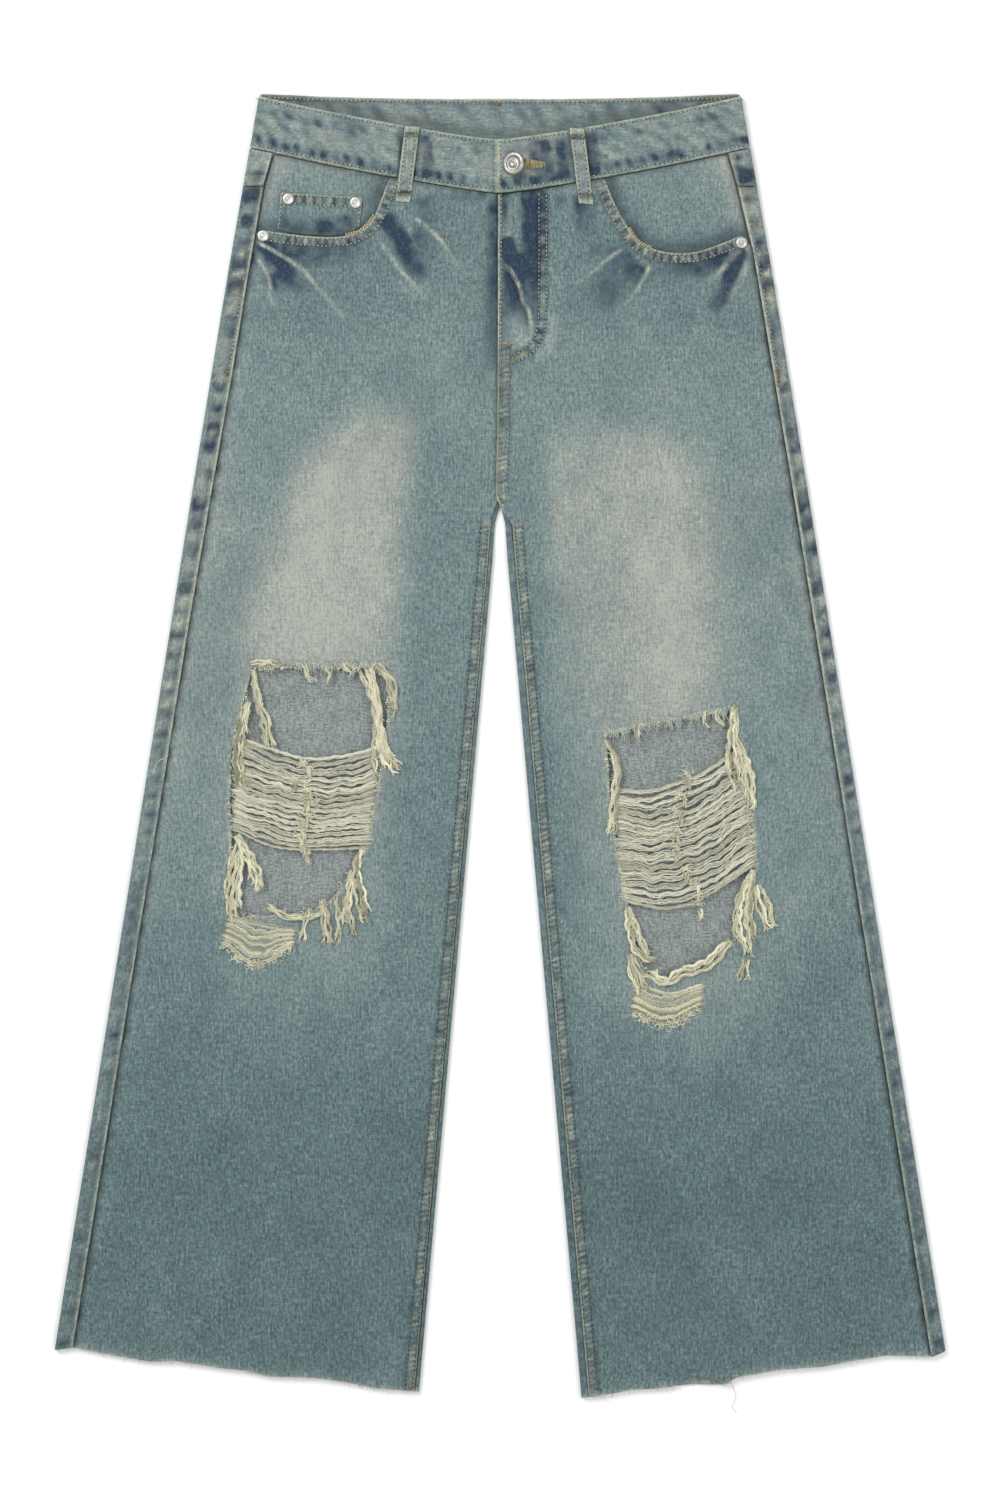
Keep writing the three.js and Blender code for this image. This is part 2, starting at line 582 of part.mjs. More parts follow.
const FRINGE = 1.1;
for (const [side, knee] of Object.entries(KNEES)) {
  const under = UNDER[side];
  const threads = plate(knee.ladder, (x, y) => under(x, y) + 0.1, (x, y) => under(x, y) + DENIM - 0.1);
  add(`knee_ladder_${side}`, within(threads, prism(inset(knee.hole, 0.5))), MATERIALS.thread);
  for (const [place, outline] of Object.entries(knee.fringes)) {
    const low = (x, y) => frontTop(x, y) + CLEAR;
    const fringe = plate(outline, low, (x, y) => low(x, y) + FRINGE);
    add(`knee_fringe_${side}_${place}`, fringe, MATERIALS.thread);
  }
}

export default jeans;
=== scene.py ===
"""Ripped wide-leg jeans laid flat on their back, dressed around the CAD frame.

The garment's classes work in millimetres, and every mesh is written in metres. +X is the
wearer's left, +Y runs from the hems to the waist, and +Z is up from the floor.
"""

import json
import logging
import math
from dataclasses import dataclass, field
from enum import Enum
from functools import cached_property
from typing import Callable, ClassVar, Iterable, Sequence

import bpy
import numpy as np
from mathutils import Matrix, Vector, kdtree
from mathutils.geometry import delaunay_2d_cdt

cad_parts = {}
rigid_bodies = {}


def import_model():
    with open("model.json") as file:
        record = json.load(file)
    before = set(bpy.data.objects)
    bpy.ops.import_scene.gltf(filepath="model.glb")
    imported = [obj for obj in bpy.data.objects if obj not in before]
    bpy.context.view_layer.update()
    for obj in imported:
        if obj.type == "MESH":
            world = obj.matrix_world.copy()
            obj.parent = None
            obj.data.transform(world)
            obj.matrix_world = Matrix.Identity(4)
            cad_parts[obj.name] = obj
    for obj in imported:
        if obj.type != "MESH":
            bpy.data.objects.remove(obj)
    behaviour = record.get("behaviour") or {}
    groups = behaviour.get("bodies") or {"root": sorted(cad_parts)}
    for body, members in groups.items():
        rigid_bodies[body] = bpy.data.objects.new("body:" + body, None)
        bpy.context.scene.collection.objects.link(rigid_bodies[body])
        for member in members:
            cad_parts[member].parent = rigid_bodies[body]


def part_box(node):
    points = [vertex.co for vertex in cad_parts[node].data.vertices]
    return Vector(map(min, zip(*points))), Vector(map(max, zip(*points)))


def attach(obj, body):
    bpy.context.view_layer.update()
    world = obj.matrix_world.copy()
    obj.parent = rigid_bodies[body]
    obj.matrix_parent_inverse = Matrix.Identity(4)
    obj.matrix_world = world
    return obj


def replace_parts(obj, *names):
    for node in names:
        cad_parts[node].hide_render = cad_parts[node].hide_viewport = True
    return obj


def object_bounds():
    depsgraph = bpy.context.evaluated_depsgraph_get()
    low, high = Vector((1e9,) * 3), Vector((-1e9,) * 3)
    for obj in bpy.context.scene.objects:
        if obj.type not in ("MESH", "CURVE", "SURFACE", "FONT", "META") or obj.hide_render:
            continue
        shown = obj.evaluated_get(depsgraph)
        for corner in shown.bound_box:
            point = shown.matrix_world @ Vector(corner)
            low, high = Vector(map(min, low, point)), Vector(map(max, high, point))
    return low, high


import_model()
CAD_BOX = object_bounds()

LOG = logging.getLogger("jeans")
MM = 0.001
Array = np.ndarray
Point = tuple[float, float]
Height = Callable[[Array, Array], Array]
Piece = bpy.types.Object
Material = bpy.types.Material

DENIM = 1.1
BAND = 2.4
LOOP = 1.6
CLEAR = 0.55
EASE = 2.3
LOFT = 1.0


# ---- Measures ---------------------------------------------------------------------------


def near(distance: Array, flat: float, fade: float) -> Array:
    """Fall smoothly from 1, up to a distance flat, to 0 at fade."""
    t = np.clip((np.asarray(distance, float) - flat) / (fade - flat), 0, 1)
    return 1 - t * t * (3 - 2 * t)


def at(table: Sequence[Point], t: Array) -> Array:
    """Read a table of (t, value) rows in rising order, straight between its rows."""
    rows = np.array(table, float)
    return np.interp(t, rows[:, 0], rows[:, 1])


def inside(loop: Array, x: Array, y: Array) -> Array:
    """Say which points lie inside a closed loop.

    Args:
        loop: The loop's corners, n by 2.
        x: The points' x values.
        y: The points' y values.

    Returns:
        One True or False for each point.
    """
    result = np.zeros(len(x), bool)
    for (x0, y0), (x1, y1) in zip(loop, np.roll(loop, -1, axis=0)):
        if y0 == y1:
            continue
        crosses = (y0 > y) != (y1 > y)
        result ^= crosses & (x < (x1 - x0) * (y - y0) / (y1 - y0) + x0)
    return result


@dataclass(frozen=True)
class Path:
    """A line on the cloth through a few given points."""

    points: tuple[Point, ...]
    straight: bool = False

    @cached_property
    def fine(self) -> Array:
        """The line as many short steps, rounded between its points."""
        rough = np.array(self.points, float)
        if self.straight or len(rough) < 3:
            return rough
        padded = np.vstack([2 * rough[0] - rough[1], rough, 2 * rough[-1] - rough[-2]])
        t = np.linspace(0, 1, 8, endpoint=False)[:, None]
        runs = []
        for a, b, c, d in zip(padded, padded[1:], padded[2:], padded[3:]):
            bend = (2 * a - 5 * b + 4 * c - d) * t**2 + (3 * b - a - 3 * c + d) * t**3
            runs.append(0.5 * (2 * b + (c - a) * t + bend))
        return np.vstack([*runs, rough[-1:]])

    @cached_property
    def length(self) -> float:
        """The line's length."""
        return float(np.hypot(*np.diff(self.fine, axis=0).T).sum())

    def laid(self, step: float) -> Array:
        """Give points along the line at about equal steps, its two ends included."""
        steps = np.hypot(*np.diff(self.fine, axis=0).T)
        run = np.concatenate([[0], np.cumsum(steps)])
        stops = np.linspace(0, run[-1], max(2, round(run[-1] / step) + 1))
        return np.stack([np.interp(stops, run, self.fine[:, k]) for k in (0, 1)], axis=1)

    def beside(self, offset: float) -> "Path":
        """Give the parallel line this far to the left of the way along."""
        line = self.laid(3.0)
        way = np.gradient(line, axis=0)
        way /= np.hypot(way[:, 0], way[:, 1])[:, None]
        return drawn(*(line + offset * np.stack([-way[:, 1], way[:, 0]], axis=1)).T)

    def measure(self, x: Array, y: Array, reach: float) -> tuple[Array, Array, Array]:
        """Measure the points that lie near the line.

        Args:
            x: The points' x values.
            y: The points' y values.
            reach: Points further off than this may be left out.

        Returns:
            The near points' indices, their distances, more than 0 on the line's left, and how
            far along the line they lie.
        """
        line = self.laid(4.0)
        low, high = line.min(axis=0) - reach, line.max(axis=0) + reach
        ids = np.flatnonzero((x > low[0]) & (x < high[0]) & (y > low[1]) & (y < high[1]))
        px, py = x[ids], y[ids]
        best = np.full(len(ids), 1e9)
        along = np.zeros(len(ids))
        start = 0.0
        for (x0, y0), (x1, y1) in zip(line, line[1:]):
            dx, dy = x1 - x0, y1 - y0
            length = math.hypot(dx, dy) or 1e-9
            t = np.clip(((px - x0) * dx + (py - y0) * dy) / length**2, 0, 1)
            distance = np.hypot(px - x0 - t * dx, py - y0 - t * dy)
            closer = distance < np.abs(best)
            left = dx * (py - y0) > dy * (px - x0)
            best[closer] = np.where(left, distance, -distance)[closer]
            along[closer] = start + t[closer] * length
            start += length
        return ids, best, along


def drawn(x: Array | float, y: Array | float) -> Path:
    """Join the points at these x and y values with straight steps."""
    xs, ys = np.broadcast_arrays(np.asarray(x, float), np.asarray(y, float))
    return Path(tuple(zip(xs.tolist(), ys.tolist())), True)


def ring(loop: Sequence[Point] | Array) -> Path:
    """Close a loop of corners into a line."""
    return drawn(*np.vstack([loop, loop[:1]]).T)


@dataclass(frozen=True)
class Clouds:
    """Smooth uneven patches over the cloth, about size millimetres across."""

    seed: int
    size: float
    stretch: float = 1.0
    turn: float = 0.0
    octaves: int = 2

    @cached_property
    def grid(self) -> Array:
        """Random heights on a repeating lattice."""
        return np.random.default_rng(self.seed).uniform(-1, 1, (97, 97))

    def __call__(self, x: Array, y: Array) -> Array:
        """Give a height of about -1 to 1 at each point."""
        cos, sin = math.cos(self.turn), math.sin(self.turn)
        u, v = (x * cos + y * sin) / self.size, (y * cos - x * sin) / (self.size * self.stretch)
        total, scale = np.zeros(np.shape(u)), 1.0
        for _ in range(self.octaves):
            i, j = np.floor(u).astype(int), np.floor(v).astype(int)
            s, t = u - i, v - j
            s, t = s * s * (3 - 2 * s), t * t * (3 - 2 * t)
            corner = [self.grid[(i + a) % 97, (j + b) % 97] for a in (0, 1) for b in (0, 1)]
            low, high = corner[0] * (1 - t) + corner[1] * t, corner[2] * (1 - t) + corner[3] * t
            total = total + scale * (low * (1 - s) + high * s)
            u, v, scale = 2.03 * u + 7.1, 2.03 * v + 3.7, scale * 0.5
        return total


UNEVEN = Clouds(3, 7.0)


class Layer(Enum):
    """What a trace does to the cloth: fade, indigo and bare from washing, painted shade, and its height."""

    FADE = 0
    INDIGO = 1
    BARE = 2
    # Painted shade: darkening laid where seams, lapped edges, creases and stitches would stand in shade.
    SHADE = 3
    RELIEF = 4


# Short names for the tables of wear and painted shade: fade, indigo, bare, painted shade, relief.
F, N, B, S, R = Layer


@dataclass(frozen=True)
class Trace:
    """One place that is worn, raised or dark with indigo dye, or a line of painted shade, that follows a
    line.

    core is its flat half width, reach where it has died away, taper how far it fades in at
    each end, and fall how fast it weakens along the line. With a pitch it comes and goes in
    uneven blots, which slant lays over.
    """

    layer: Layer
    path: Path
    core: float
    reach: float
    amount: float
    taper: float = 0.0
    pitch: float = 0.0
    phase: float = 0.0
    fall: float = 0.0
    slant: float = 0.0
    rough: float = 0.35

    def value(self, x: Array, y: Array) -> Array:
        """Give the trace's strength at each point."""
        result = np.zeros(len(x))
        ids, offset, along = self.path.measure(x, y, self.reach)
        value = self.amount * near(np.abs(offset), self.core, self.reach)
        value *= np.clip(1 + self.rough * UNEVEN(x[ids] + 31 * self.phase, y[ids]), 0, 2)
        if self.taper:
            end = np.minimum(along, self.path.length - along)
            value *= 1 - near(end, 0, self.taper)
        if self.fall:
            value *= np.clip(1 - along / self.path.length, 0, 1) ** self.fall
        if self.pitch:
            value *= self.blots((along + self.slant * offset) / self.pitch + self.phase)
        result[ids] = value
        return result

    def blots(self, turns: Array) -> Array:
        """Come and go unevenly, about once a turn."""
        nearest = np.floor(turns)
        best = np.zeros(len(turns))
        for k in (-1, 0, 1):
            spin = np.modf(np.abs(np.sin((nearest + k) * 12.99 + self.phase * 7.1)) * 4375.5)[0]
            other = np.modf(spin * 91.7)[0]
            third = np.modf(other * 57.3)[0]
            centre = nearest + k + 0.5 + 0.42 * (spin - 0.5)
            width = 0.2 + 0.16 * other
            best = np.maximum(best, (0.35 + 0.75 * third) * np.exp(-np.square((turns - centre) / width)))
        return best


@dataclass(frozen=True)
class Bleach:
    """A broad fade down a leg, bounded by tables.

    Each row holds y, then the distances from the middle where the fade starts, is full, is
    still full and ends, and last its amount.
    """

    rows: tuple[tuple[float, float, float, float, float, float], ...]

    def value(self, x: Array, y: Array) -> Array:
        """Give the fade's strength at each point."""
        table = np.array(self.rows)
        a, b, c, d, amount = (np.interp(y, table[:, 0], table[:, k]) for k in range(1, 6))
        across = np.abs(x)
        rise = 1 - near(across - a, 0, np.maximum(b - a, 1))
        return amount * rise * near(across - c, 0, np.maximum(d - c, 1))


def traced(traces: Iterable[Trace], layer: Layer, x: Array, y: Array) -> Array:
    """Add up the traces of one layer at each point."""
    total = np.zeros(len(x))
    for trace in traces:
        if trace.layer is layer:
            total += trace.value(x, y)
    return total


# ---- Pattern ----------------------------------------------------------------------------


class Side(Enum):
    """The wearer's sides, with the sign of x there."""

    RIGHT = -1
    LEFT = 1

    @property
    def word(self) -> str:
        """The side as it stands in a piece's name."""
        return self.name.lower()


class Pattern:
    """The flat garment's outline, seams and heights, which all its pieces share."""

    WAIST_Y = 527.5
    WAIST_HALF = 195.0
    BAND_HEIGHT = 42.5
    FRONT_BAND = 43.0
    FRONT_DIP_Y = 490.5
    BACK_DIP = 4.0
    SEAT_Y = 196.0
    BAND_SEAM = 0.9
    BAND_Y = 505.0
    SIDE_FOLD = ((-500, 362.3), (199, 250.3), (378, 221), (WAIST_Y, WAIST_HALF))
    INSEAM_FOLD = ((-WAIST_Y, 66), (150, 6.2), (180, 4.2), (SEAT_Y, 0.15))
    HEM = {
        Side.RIGHT: (
            (-362, -489), (-345, -486.5), (-320, -491.5), (-283, -498), (-262, -497.5),
            (-223, -503.5), (-211, -504.5), (-186, -510), (-150, -511), (-125, -514.5),
            (-101, -519.5), (-64, -522.5),
        ),
        Side.LEFT: (
            (64, -527.5), (80, -526), (105, -521), (130, -519.5), (154, -516.5), (183, -517),
            (190, -511), (227, -504.5), (262, -502), (288, -497), (312, -493), (325, -493.5),
            (350, -494), (362, -489),
        ),
    }
    SEAM_INSET = {
        Side.RIGHT: ((-490, 14.5), (100, 14.8), (300, 17), (455, 16.6), (482, 20)),
        Side.LEFT: ((-490, 12.5), (200, 12), (400, 12.5), (455, 16), (482, 19)),
    }
    INSEAM_INSET = {Side.RIGHT: 3.0, Side.LEFT: 5.5}
    ALLOWANCE = 6.0
    LAP_X = 6.0
    EDGE_X = -1.5
    FLY_RISE = DENIM + 0.7
    YOKE_Y = 420.0
    YOKE_SLOPE = 0.18
    POCKET_X, POCKET_Y = 98.0, 401.0
    POCKET_HALF = ((73.0, 0.0), (66.0, -128.0))
    POCKET_POINT = -150.0
    POCKET_TURN = math.radians(8)
    BACK_LOOPS = (-178.0, 0.0, 178.0)
    OVERLAP_END = 38.0
    UNDERLAP_END = 36.0
    SCOOP = {
        Side.RIGHT: (
            (-89.5, 459), (-94.8, 445.5), (-102, 428), (-110, 419), (-121, 413.5),
            (-136, 411.5), (-157, 412.5), (-178, 415), (-190, 417),
        ),
        Side.LEFT: (
            (85.2, 458), (90.7, 443.5), (98, 429), (106.3, 415.5), (114.5, 406.5),
            (129, 400.5), (144.5, 398.5), (160, 400), (175.5, 405), (194, 412.5),
        ),
    }

    @classmethod
    def fold_x(cls, y: Array) -> Array:
        """Half width at the side fold."""
        return at(cls.SIDE_FOLD, y)

    @classmethod
    def inseam_x(cls, y: Array) -> Array:
        """Half gap at the inseam fold."""
        return at(cls.INSEAM_FOLD, y)

    @classmethod
    def seam_x(cls, side: Side, y: Array) -> Array:
        """Distance of the side seam from the middle."""
        return cls.fold_x(y) - at(cls.SEAM_INSET[side], y)

    @classmethod
    def hem_y(cls, x: Array) -> Array:
        """The raw hem, for x in either leg."""
        x = np.asarray(x, float)
        return np.where(x < 0, at(cls.HEM[Side.RIGHT], x), at(cls.HEM[Side.LEFT], x))

    @classmethod
    def band_top(cls, x: Array) -> Array:
        """Top edge of the front waistband."""
        return cls.FRONT_DIP_Y + 0.15 * (np.hypot(x, 8) - 8) + 0.00018 * np.square(x)

    @classmethod
    def band_bottom(cls, x: Array) -> Array:
        """Bottom edge of the front waistband."""
        return cls.band_top(x) - cls.FRONT_BAND

    @classmethod
    def under_band(cls, x: Array) -> Array:
        """Where the fronts' cloth ends, just under the waistband."""
        return cls.band_bottom(x) - cls.BAND_SEAM

    @classmethod
    def back_band_top(cls, share: Array) -> Array:
        """Top edge of the back waistband, for a share of the half waist."""
        return cls.WAIST_Y - cls.BACK_DIP * (1 - np.square(share))

    @classmethod
    def back_band_bottom(cls, x: Array) -> Array:
        """Bottom edge of the back waistband."""
        return cls.back_band_top(np.minimum(1, np.abs(x) / 200)) - cls.BAND_HEIGHT

    @classmethod
    def pocket(cls, side: Side) -> Array:
        """The outline of a back pocket, counter-clockwise."""
        half = list(cls.POCKET_HALF)
        local = [(-x, y) for x, y in half] + [(0.0, cls.POCKET_POINT)] + half[::-1]
        cos, sin = math.cos(cls.POCKET_TURN), math.sin(cls.POCKET_TURN)
        loop = np.array(
            [(cls.POCKET_X + x * cos - y * sin, cls.POCKET_Y + x * sin + y * cos) for x, y in local]
        )
        if side is Side.RIGHT:
            loop = (loop * (-1, 1))[::-1]
        return loop

    @classmethod
    def underside(cls, x: Array, y: Array | float) -> Array:
        """Lowest face of the cloth: on the floor, or on the pockets and loops beneath it."""
        x, y = np.broadcast_arrays(np.asarray(x, float), np.asarray(y, float))
        rise = np.zeros(x.shape)
        for loop_x in cls.BACK_LOOPS:
            over = near(np.abs(x - loop_x), 9, 34) * near(463 - y, 0, 30)
            rise = np.maximum(rise, (LOOP + CLEAR) * over)
        loop = cls.pocket(Side.LEFT)
        outside = np.full(x.shape, -1e9)
        for (x0, y0), (x1, y1) in zip(loop, np.roll(loop, -1, axis=0)):
            length = math.hypot(x1 - x0, y1 - y0)
            beyond = ((y1 - y0) * (np.abs(x) - x0) - (x1 - x0) * (y - y0)) / length
            outside = np.maximum(outside, beyond)
        return np.maximum(rise, (DENIM + CLEAR) * near(outside, 8, 36))

    @classmethod
    def front_under(cls, x: Array, y: Array) -> Array:
        """Underside of the front, before the fly lifts it."""
        inner = cls.inseam_x(y)
        outer = np.where(np.asarray(x) < 0, cls.seam_x(Side.RIGHT, y), cls.seam_x(Side.LEFT, y))
        u = np.clip((np.abs(x) - inner) / (outer - inner), 0, 1)
        return cls.underside(x, y) + DENIM + EASE + LOFT * 4 * u * (1 - u)

    @classmethod
    def fly_rise(cls, x: Array, y: Array) -> Array:
        """How far the left front is lifted where it laps over the right."""
        return cls.FLY_RISE * near(x, 10, 34) * near(188 - np.asarray(y), 0, 22)

    @classmethod
    def front_top(cls, x: Array, y: Array, side: Side) -> Array:
        """Outer face of a front."""
        lift = cls.fly_rise(x, y) if side is Side.LEFT else 0.0
        return cls.front_under(x, y) + lift + DENIM

    @classmethod
    def overlap_rise(cls, x: Array) -> Array:
        """How far the left end of the waistband is lifted over the right end."""
        return (BAND + 0.3) * near(x, cls.OVERLAP_END, cls.OVERLAP_END + 24)

    @classmethod
    def band_face(cls, x: Array) -> Array:
        """Outer face of the front waistband."""
        under = cls.underside(x, cls.BAND_Y) + BAND + 0.6
        lift = np.where(np.asarray(x) > cls.EDGE_X - 1, cls.overlap_rise(x), 0.0)
        return under + BAND + lift


# ---- Meshes -----------------------------------------------------------------------------


@dataclass
class Solid:
    """The points, faces and per-point data of one closed piece, in millimetres."""

    points: Array
    faces: list[tuple[int, ...]] | Array
    finishes: Array
    uv: Array | None = None
    wash: Array | None = None
    tone: Array | None = None

    def build(self, name: str, materials: Sequence[Material], angle: float = 55) -> Piece:
        """Write the piece as a mesh object in metres.

        Args:
            name: The piece's name.
            materials: Its finishes, in the order of the face indices.
            angle: Edges sharper than this many degrees stay sharp.

        Returns:
            The new object.
        """
        mesh = bpy.data.meshes.new(name)
        faces = self.faces.tolist() if isinstance(self.faces, np.ndarray) else self.faces
        mesh.from_pydata((self.points * MM).tolist(), [], faces)
        for material in materials:
            mesh.materials.append(material)
        mesh.polygons.foreach_set("material_index", np.asarray(self.finishes, np.int32))
        corners = np.zeros(len(mesh.loops), np.int32)
        mesh.loops.foreach_get("vertex_index", corners)
        if self.uv is not None:
            layer = mesh.uv_layers.new(name="cloth")
            layer.data.foreach_set("uv", (self.uv[corners] * MM).ravel())
        # The attribute holds fade, indigo and bare in its colour, and painted shade in its alpha.
        if self.wash is not None:
            wash = mesh.attributes.new("wash", "FLOAT_COLOR", "POINT")
            wash.data.foreach_set("color", np.clip(self.wash, -1, 2).astype(np.float32).ravel())
        if self.tone is not None:
            tone = mesh.attributes.new("tone", "FLOAT", "POINT")
            tone.data.foreach_set("value", self.tone.astype(np.float32))
        mesh.update()
        piece = bpy.data.objects.new(name, mesh)
        bpy.context.scene.collection.objects.link(piece)
        choose(piece)
        bpy.ops.object.shade_smooth_by_angle(angle=math.radians(angle))
        return piece


def choose(piece: Piece) -> None:
    """Deselect everything, then select one piece and make it active."""
    bpy.ops.object.select_all(action="DESELECT")
    piece.select_set(True)
    bpy.context.view_layer.objects.active = piece


def outward(points: Array, faces: Array) -> Array:
    """Turn a closed mesh's triangles or quads round if they face inwards."""
    a, b, c = (points[faces[:, k]] for k in range(3))
    volume = np.einsum("ij,ij->i", a, np.cross(b, c)).sum()
    if faces.shape[1] == 4:
        d = points[faces[:, 3]]
        volume += np.einsum("ij,ij->i", a, np.cross(c, d)).sum()
    return faces if volume > 0 else faces[:, ::-1]


def wall(outer: Array, inner: Array, uv: Array, wash: Array) -> Solid:
    """Close a wall between two grids of points.

    Args:
        outer: Points of the outer face, rows by columns by 3.
        inner: Points of the inner face, the same shape.
        uv: Flat place of each point, rows by columns by 2.
        wash: Fade, indigo, bare and painted shade of each point, rows by columns by 4.

    Returns:
        The solid, with finish 0 outside, 1 inside and 2 on its rim.
    """
    rows, columns = outer.shape[:2]
    ids = np.arange(rows * columns).reshape(rows, columns)
    quads = np.stack([ids[:-1, :-1], ids[:-1, 1:], ids[1:, 1:], ids[1:, :-1]], axis=-1).reshape(-1, 4)
    lower = quads[:, ::-1] + rows * columns
    ring = np.concatenate([ids[0, :], ids[1:, -1], ids[-1, -2::-1], ids[-2:0:-1, 0]])
    after = np.roll(ring, -1)
    rim = np.stack([after, ring, ring + rows * columns, after + rows * columns], axis=-1)
    points = np.vstack([outer.reshape(-1, 3), inner.reshape(-1, 3)])
    faces = outward(points, np.vstack([quads, lower, rim]))
    finishes = np.repeat([0, 1, 2], [len(quads), len(quads), len(rim)])
    flat = uv.reshape(-1, 2)
    dyed_and_shaded = wash.reshape(-1, 4)
    return Solid(points, faces, finishes, np.vstack([flat, flat]), np.vstack([dyed_and_shaded, dyed_and_shaded]))


def nearest(spots: Array) -> kdtree.KDTree:
    """Make a tree that finds the nearest of many flat points."""
    tree = kdtree.KDTree(len(spots))
    for k, (x, y) in enumerate(spots):
        tree.insert((x, y, 0), k)
    tree.balance()
    return tree


def clearance(tree: kdtree.KDTree, spots: Array) -> Array:
    """Measure each point's distance from a tree's nearest one."""
    return np.array([tree.find((x, y, 0))[2] for x, y in spots])


def lay(piece: Piece, node: str, spans: Sequence[float], area: float | None, *rests: str) -> Piece:
    """Let a cloth piece stand for its CAD node, where it lies on others.

    Args:
        piece: The cloth.
        node: Its CAD node.
        spans: Width and length of its flat cut. Not used.
        area: The cut's flat area, where it isn't a rectangle. Not used.
        rests: What it lies on.

    Returns:
        The same piece.
    """
    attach(piece, "root")
    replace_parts(piece, node)
    area and area * MM * MM
    LOG.info("%s: %d faces, lying on %s", piece.name, len(piece.data.polygons), rests or "the floor")
    return piece


@dataclass
class Panel:
    """A piece cut from flat cloth to any outline, with holes, laid over a height."""

    outline: Array
    top: Height
    paint: Callable[[Array, Array], Array]
    thickness: float = DENIM
    holes: Sequence[Array] = ()
    step: Callable[[float], float] = lambda y: 3.0
    roll: float = 0.75
    detail: Sequence[Path] = ()

    EDGE_STEP: ClassVar[float] = 2.2
    DETAIL_STEP: ClassVar[float] = 1.15

    def loops(self) -> list[Array]:
        """Give the outline and the holes as evenly stepped loops."""
        return [ring(loop).laid(self.EDGE_STEP)[:-1] for loop in (self.outline, *self.holes)]

    def solid(self) -> Solid:
        """Mesh the panel and close it into a solid."""
        loops = self.loops()
        edge = np.vstack(loops)
        tree = nearest(edge)
        extra = []
        for sign, loop in zip([1] + [-1] * len(self.holes), loops):
            way = np.roll(loop, -1, axis=0) - np.roll(loop, 1, axis=0)
            way /= np.hypot(way[:, 0], way[:, 1])[:, None] + 1e-9
            turn = np.sign(np.cross(loop, np.roll(loop, -1, axis=0)).sum()) * sign
            inward = np.stack([-way[:, 1], way[:, 0]], axis=1) * turn
            extra.extend(loop + inward * reach for reach in (0.7, 1.7))
        low, high = self.outline.min(axis=0), self.outline.max(axis=0)
        rows = []
        y = low[1]
        while y < high[1]:
            step = self.step(y)
            xs = np.arange(low[0], high[0], step) + 0.5 * step * (len(rows) % 2)
            rows.append(np.stack([xs, np.full(len(xs), y)], axis=1))
            y += 0.87 * step
        lattice = np.vstack(rows)
        lattice = lattice[self.covers(lattice)]
        lattice = lattice[clearance(tree, lattice) > 2.7]
        if self.detail:
            lines = np.vstack([path.laid(self.DETAIL_STEP) for path in self.detail])
            lattice = lattice[clearance(nearest(lines), lattice) > 1.0]
            extra.append(lines)
        offset = np.vstack(extra)
        offset = offset[self.covers(offset)]
        offset = offset[clearance(tree, offset) > 0.5]
        links = []
        for loop in loops:
            ids = np.arange(len(loop)) + len(links)
            links.extend(zip(ids.tolist(), np.roll(ids, -1).tolist()))
        spots = np.vstack([edge, offset, lattice])
        met = delaunay_2d_cdt([tuple(p) for p in spots], links, [], 0, 1e-5, False)
        flat = np.array([tuple(p) for p in met[0]])
        triangles = np.array(met[2])
        triangles = triangles[self.covers(flat[triangles].mean(axis=1))]
        used, renumbered = np.unique(triangles, return_inverse=True)
        return self.closed(flat[used], renumbered.reshape(triangles.shape), tree)

    def covers(self, spots: Array) -> Array:
        """Say which points lie on the cloth."""
        kept = inside(self.outline, spots[:, 0], spots[:, 1])
        for hole in self.holes:
            kept &= ~inside(hole, spots[:, 0], spots[:, 1])
        return kept

    def closed(self, flat: Array, triangles: Array, tree: kdtree.KDTree) -> Solid:
        """Lift a flat mesh to its height and join its two faces round the edge."""
        x, y = flat.T
        share = 1 - np.clip(clearance(tree, flat) / self.roll, 0, 1)
        drop = self.roll * (1 - np.sqrt(1 - share**2 * 0.98))
        high = self.top(x, y)
        upper = np.column_stack([x, y, high - np.minimum(drop, 0.8 * self.thickness)])
        lower = np.column_stack([x, y, high - self.thickness])
        n = len(flat)
        a, b, c = (flat[triangles[:, k]] for k in range(3))
        clockwise = np.cross(b - a, c - a) < 0
        triangles[clockwise] = triangles[clockwise][:, ::-1]
        edges = np.vstack([triangles[:, [0, 1]], triangles[:, [1, 2]], triangles[:, [2, 0]]])
        known = set(map(tuple, edges))
        lone = sorted((int(i), int(j)) for i, j in known if (j, i) not in known)
        rim = [(j, i, i + n, j + n) for i, j in lone]
        faces = triangles.tolist() + (triangles[:, ::-1] + n).tolist() + rim
        finishes = np.repeat([0, 1, 2], [len(triangles), len(triangles), len(rim)])
        uv, wash = (np.vstack([face, face]) for face in (flat, self.paint(x, y)))
        return Solid(np.vstack([upper, lower]), faces, finishes, uv, wash)

    def build(self, names: tuple[str, str], materials: Sequence[Material], *rests: str,
              torn: float = 0.0) -> None:
        """Build the cut as a piece, named first, that stands for the CAD node named second.

        Args:
            names: The piece's name and its CAD node's.
            materials: Its outer, inner and rim finishes.
            rests: What it lies on.
            torn: Area of the tears.
        """
        piece = self.solid().build(names[0], materials)
        lay(piece, names[1], np.ptp(self.outline, axis=0), loop_area(self.outline) - torn, *rests)


# ---- Finishes ---------------------------------------------------------------------------


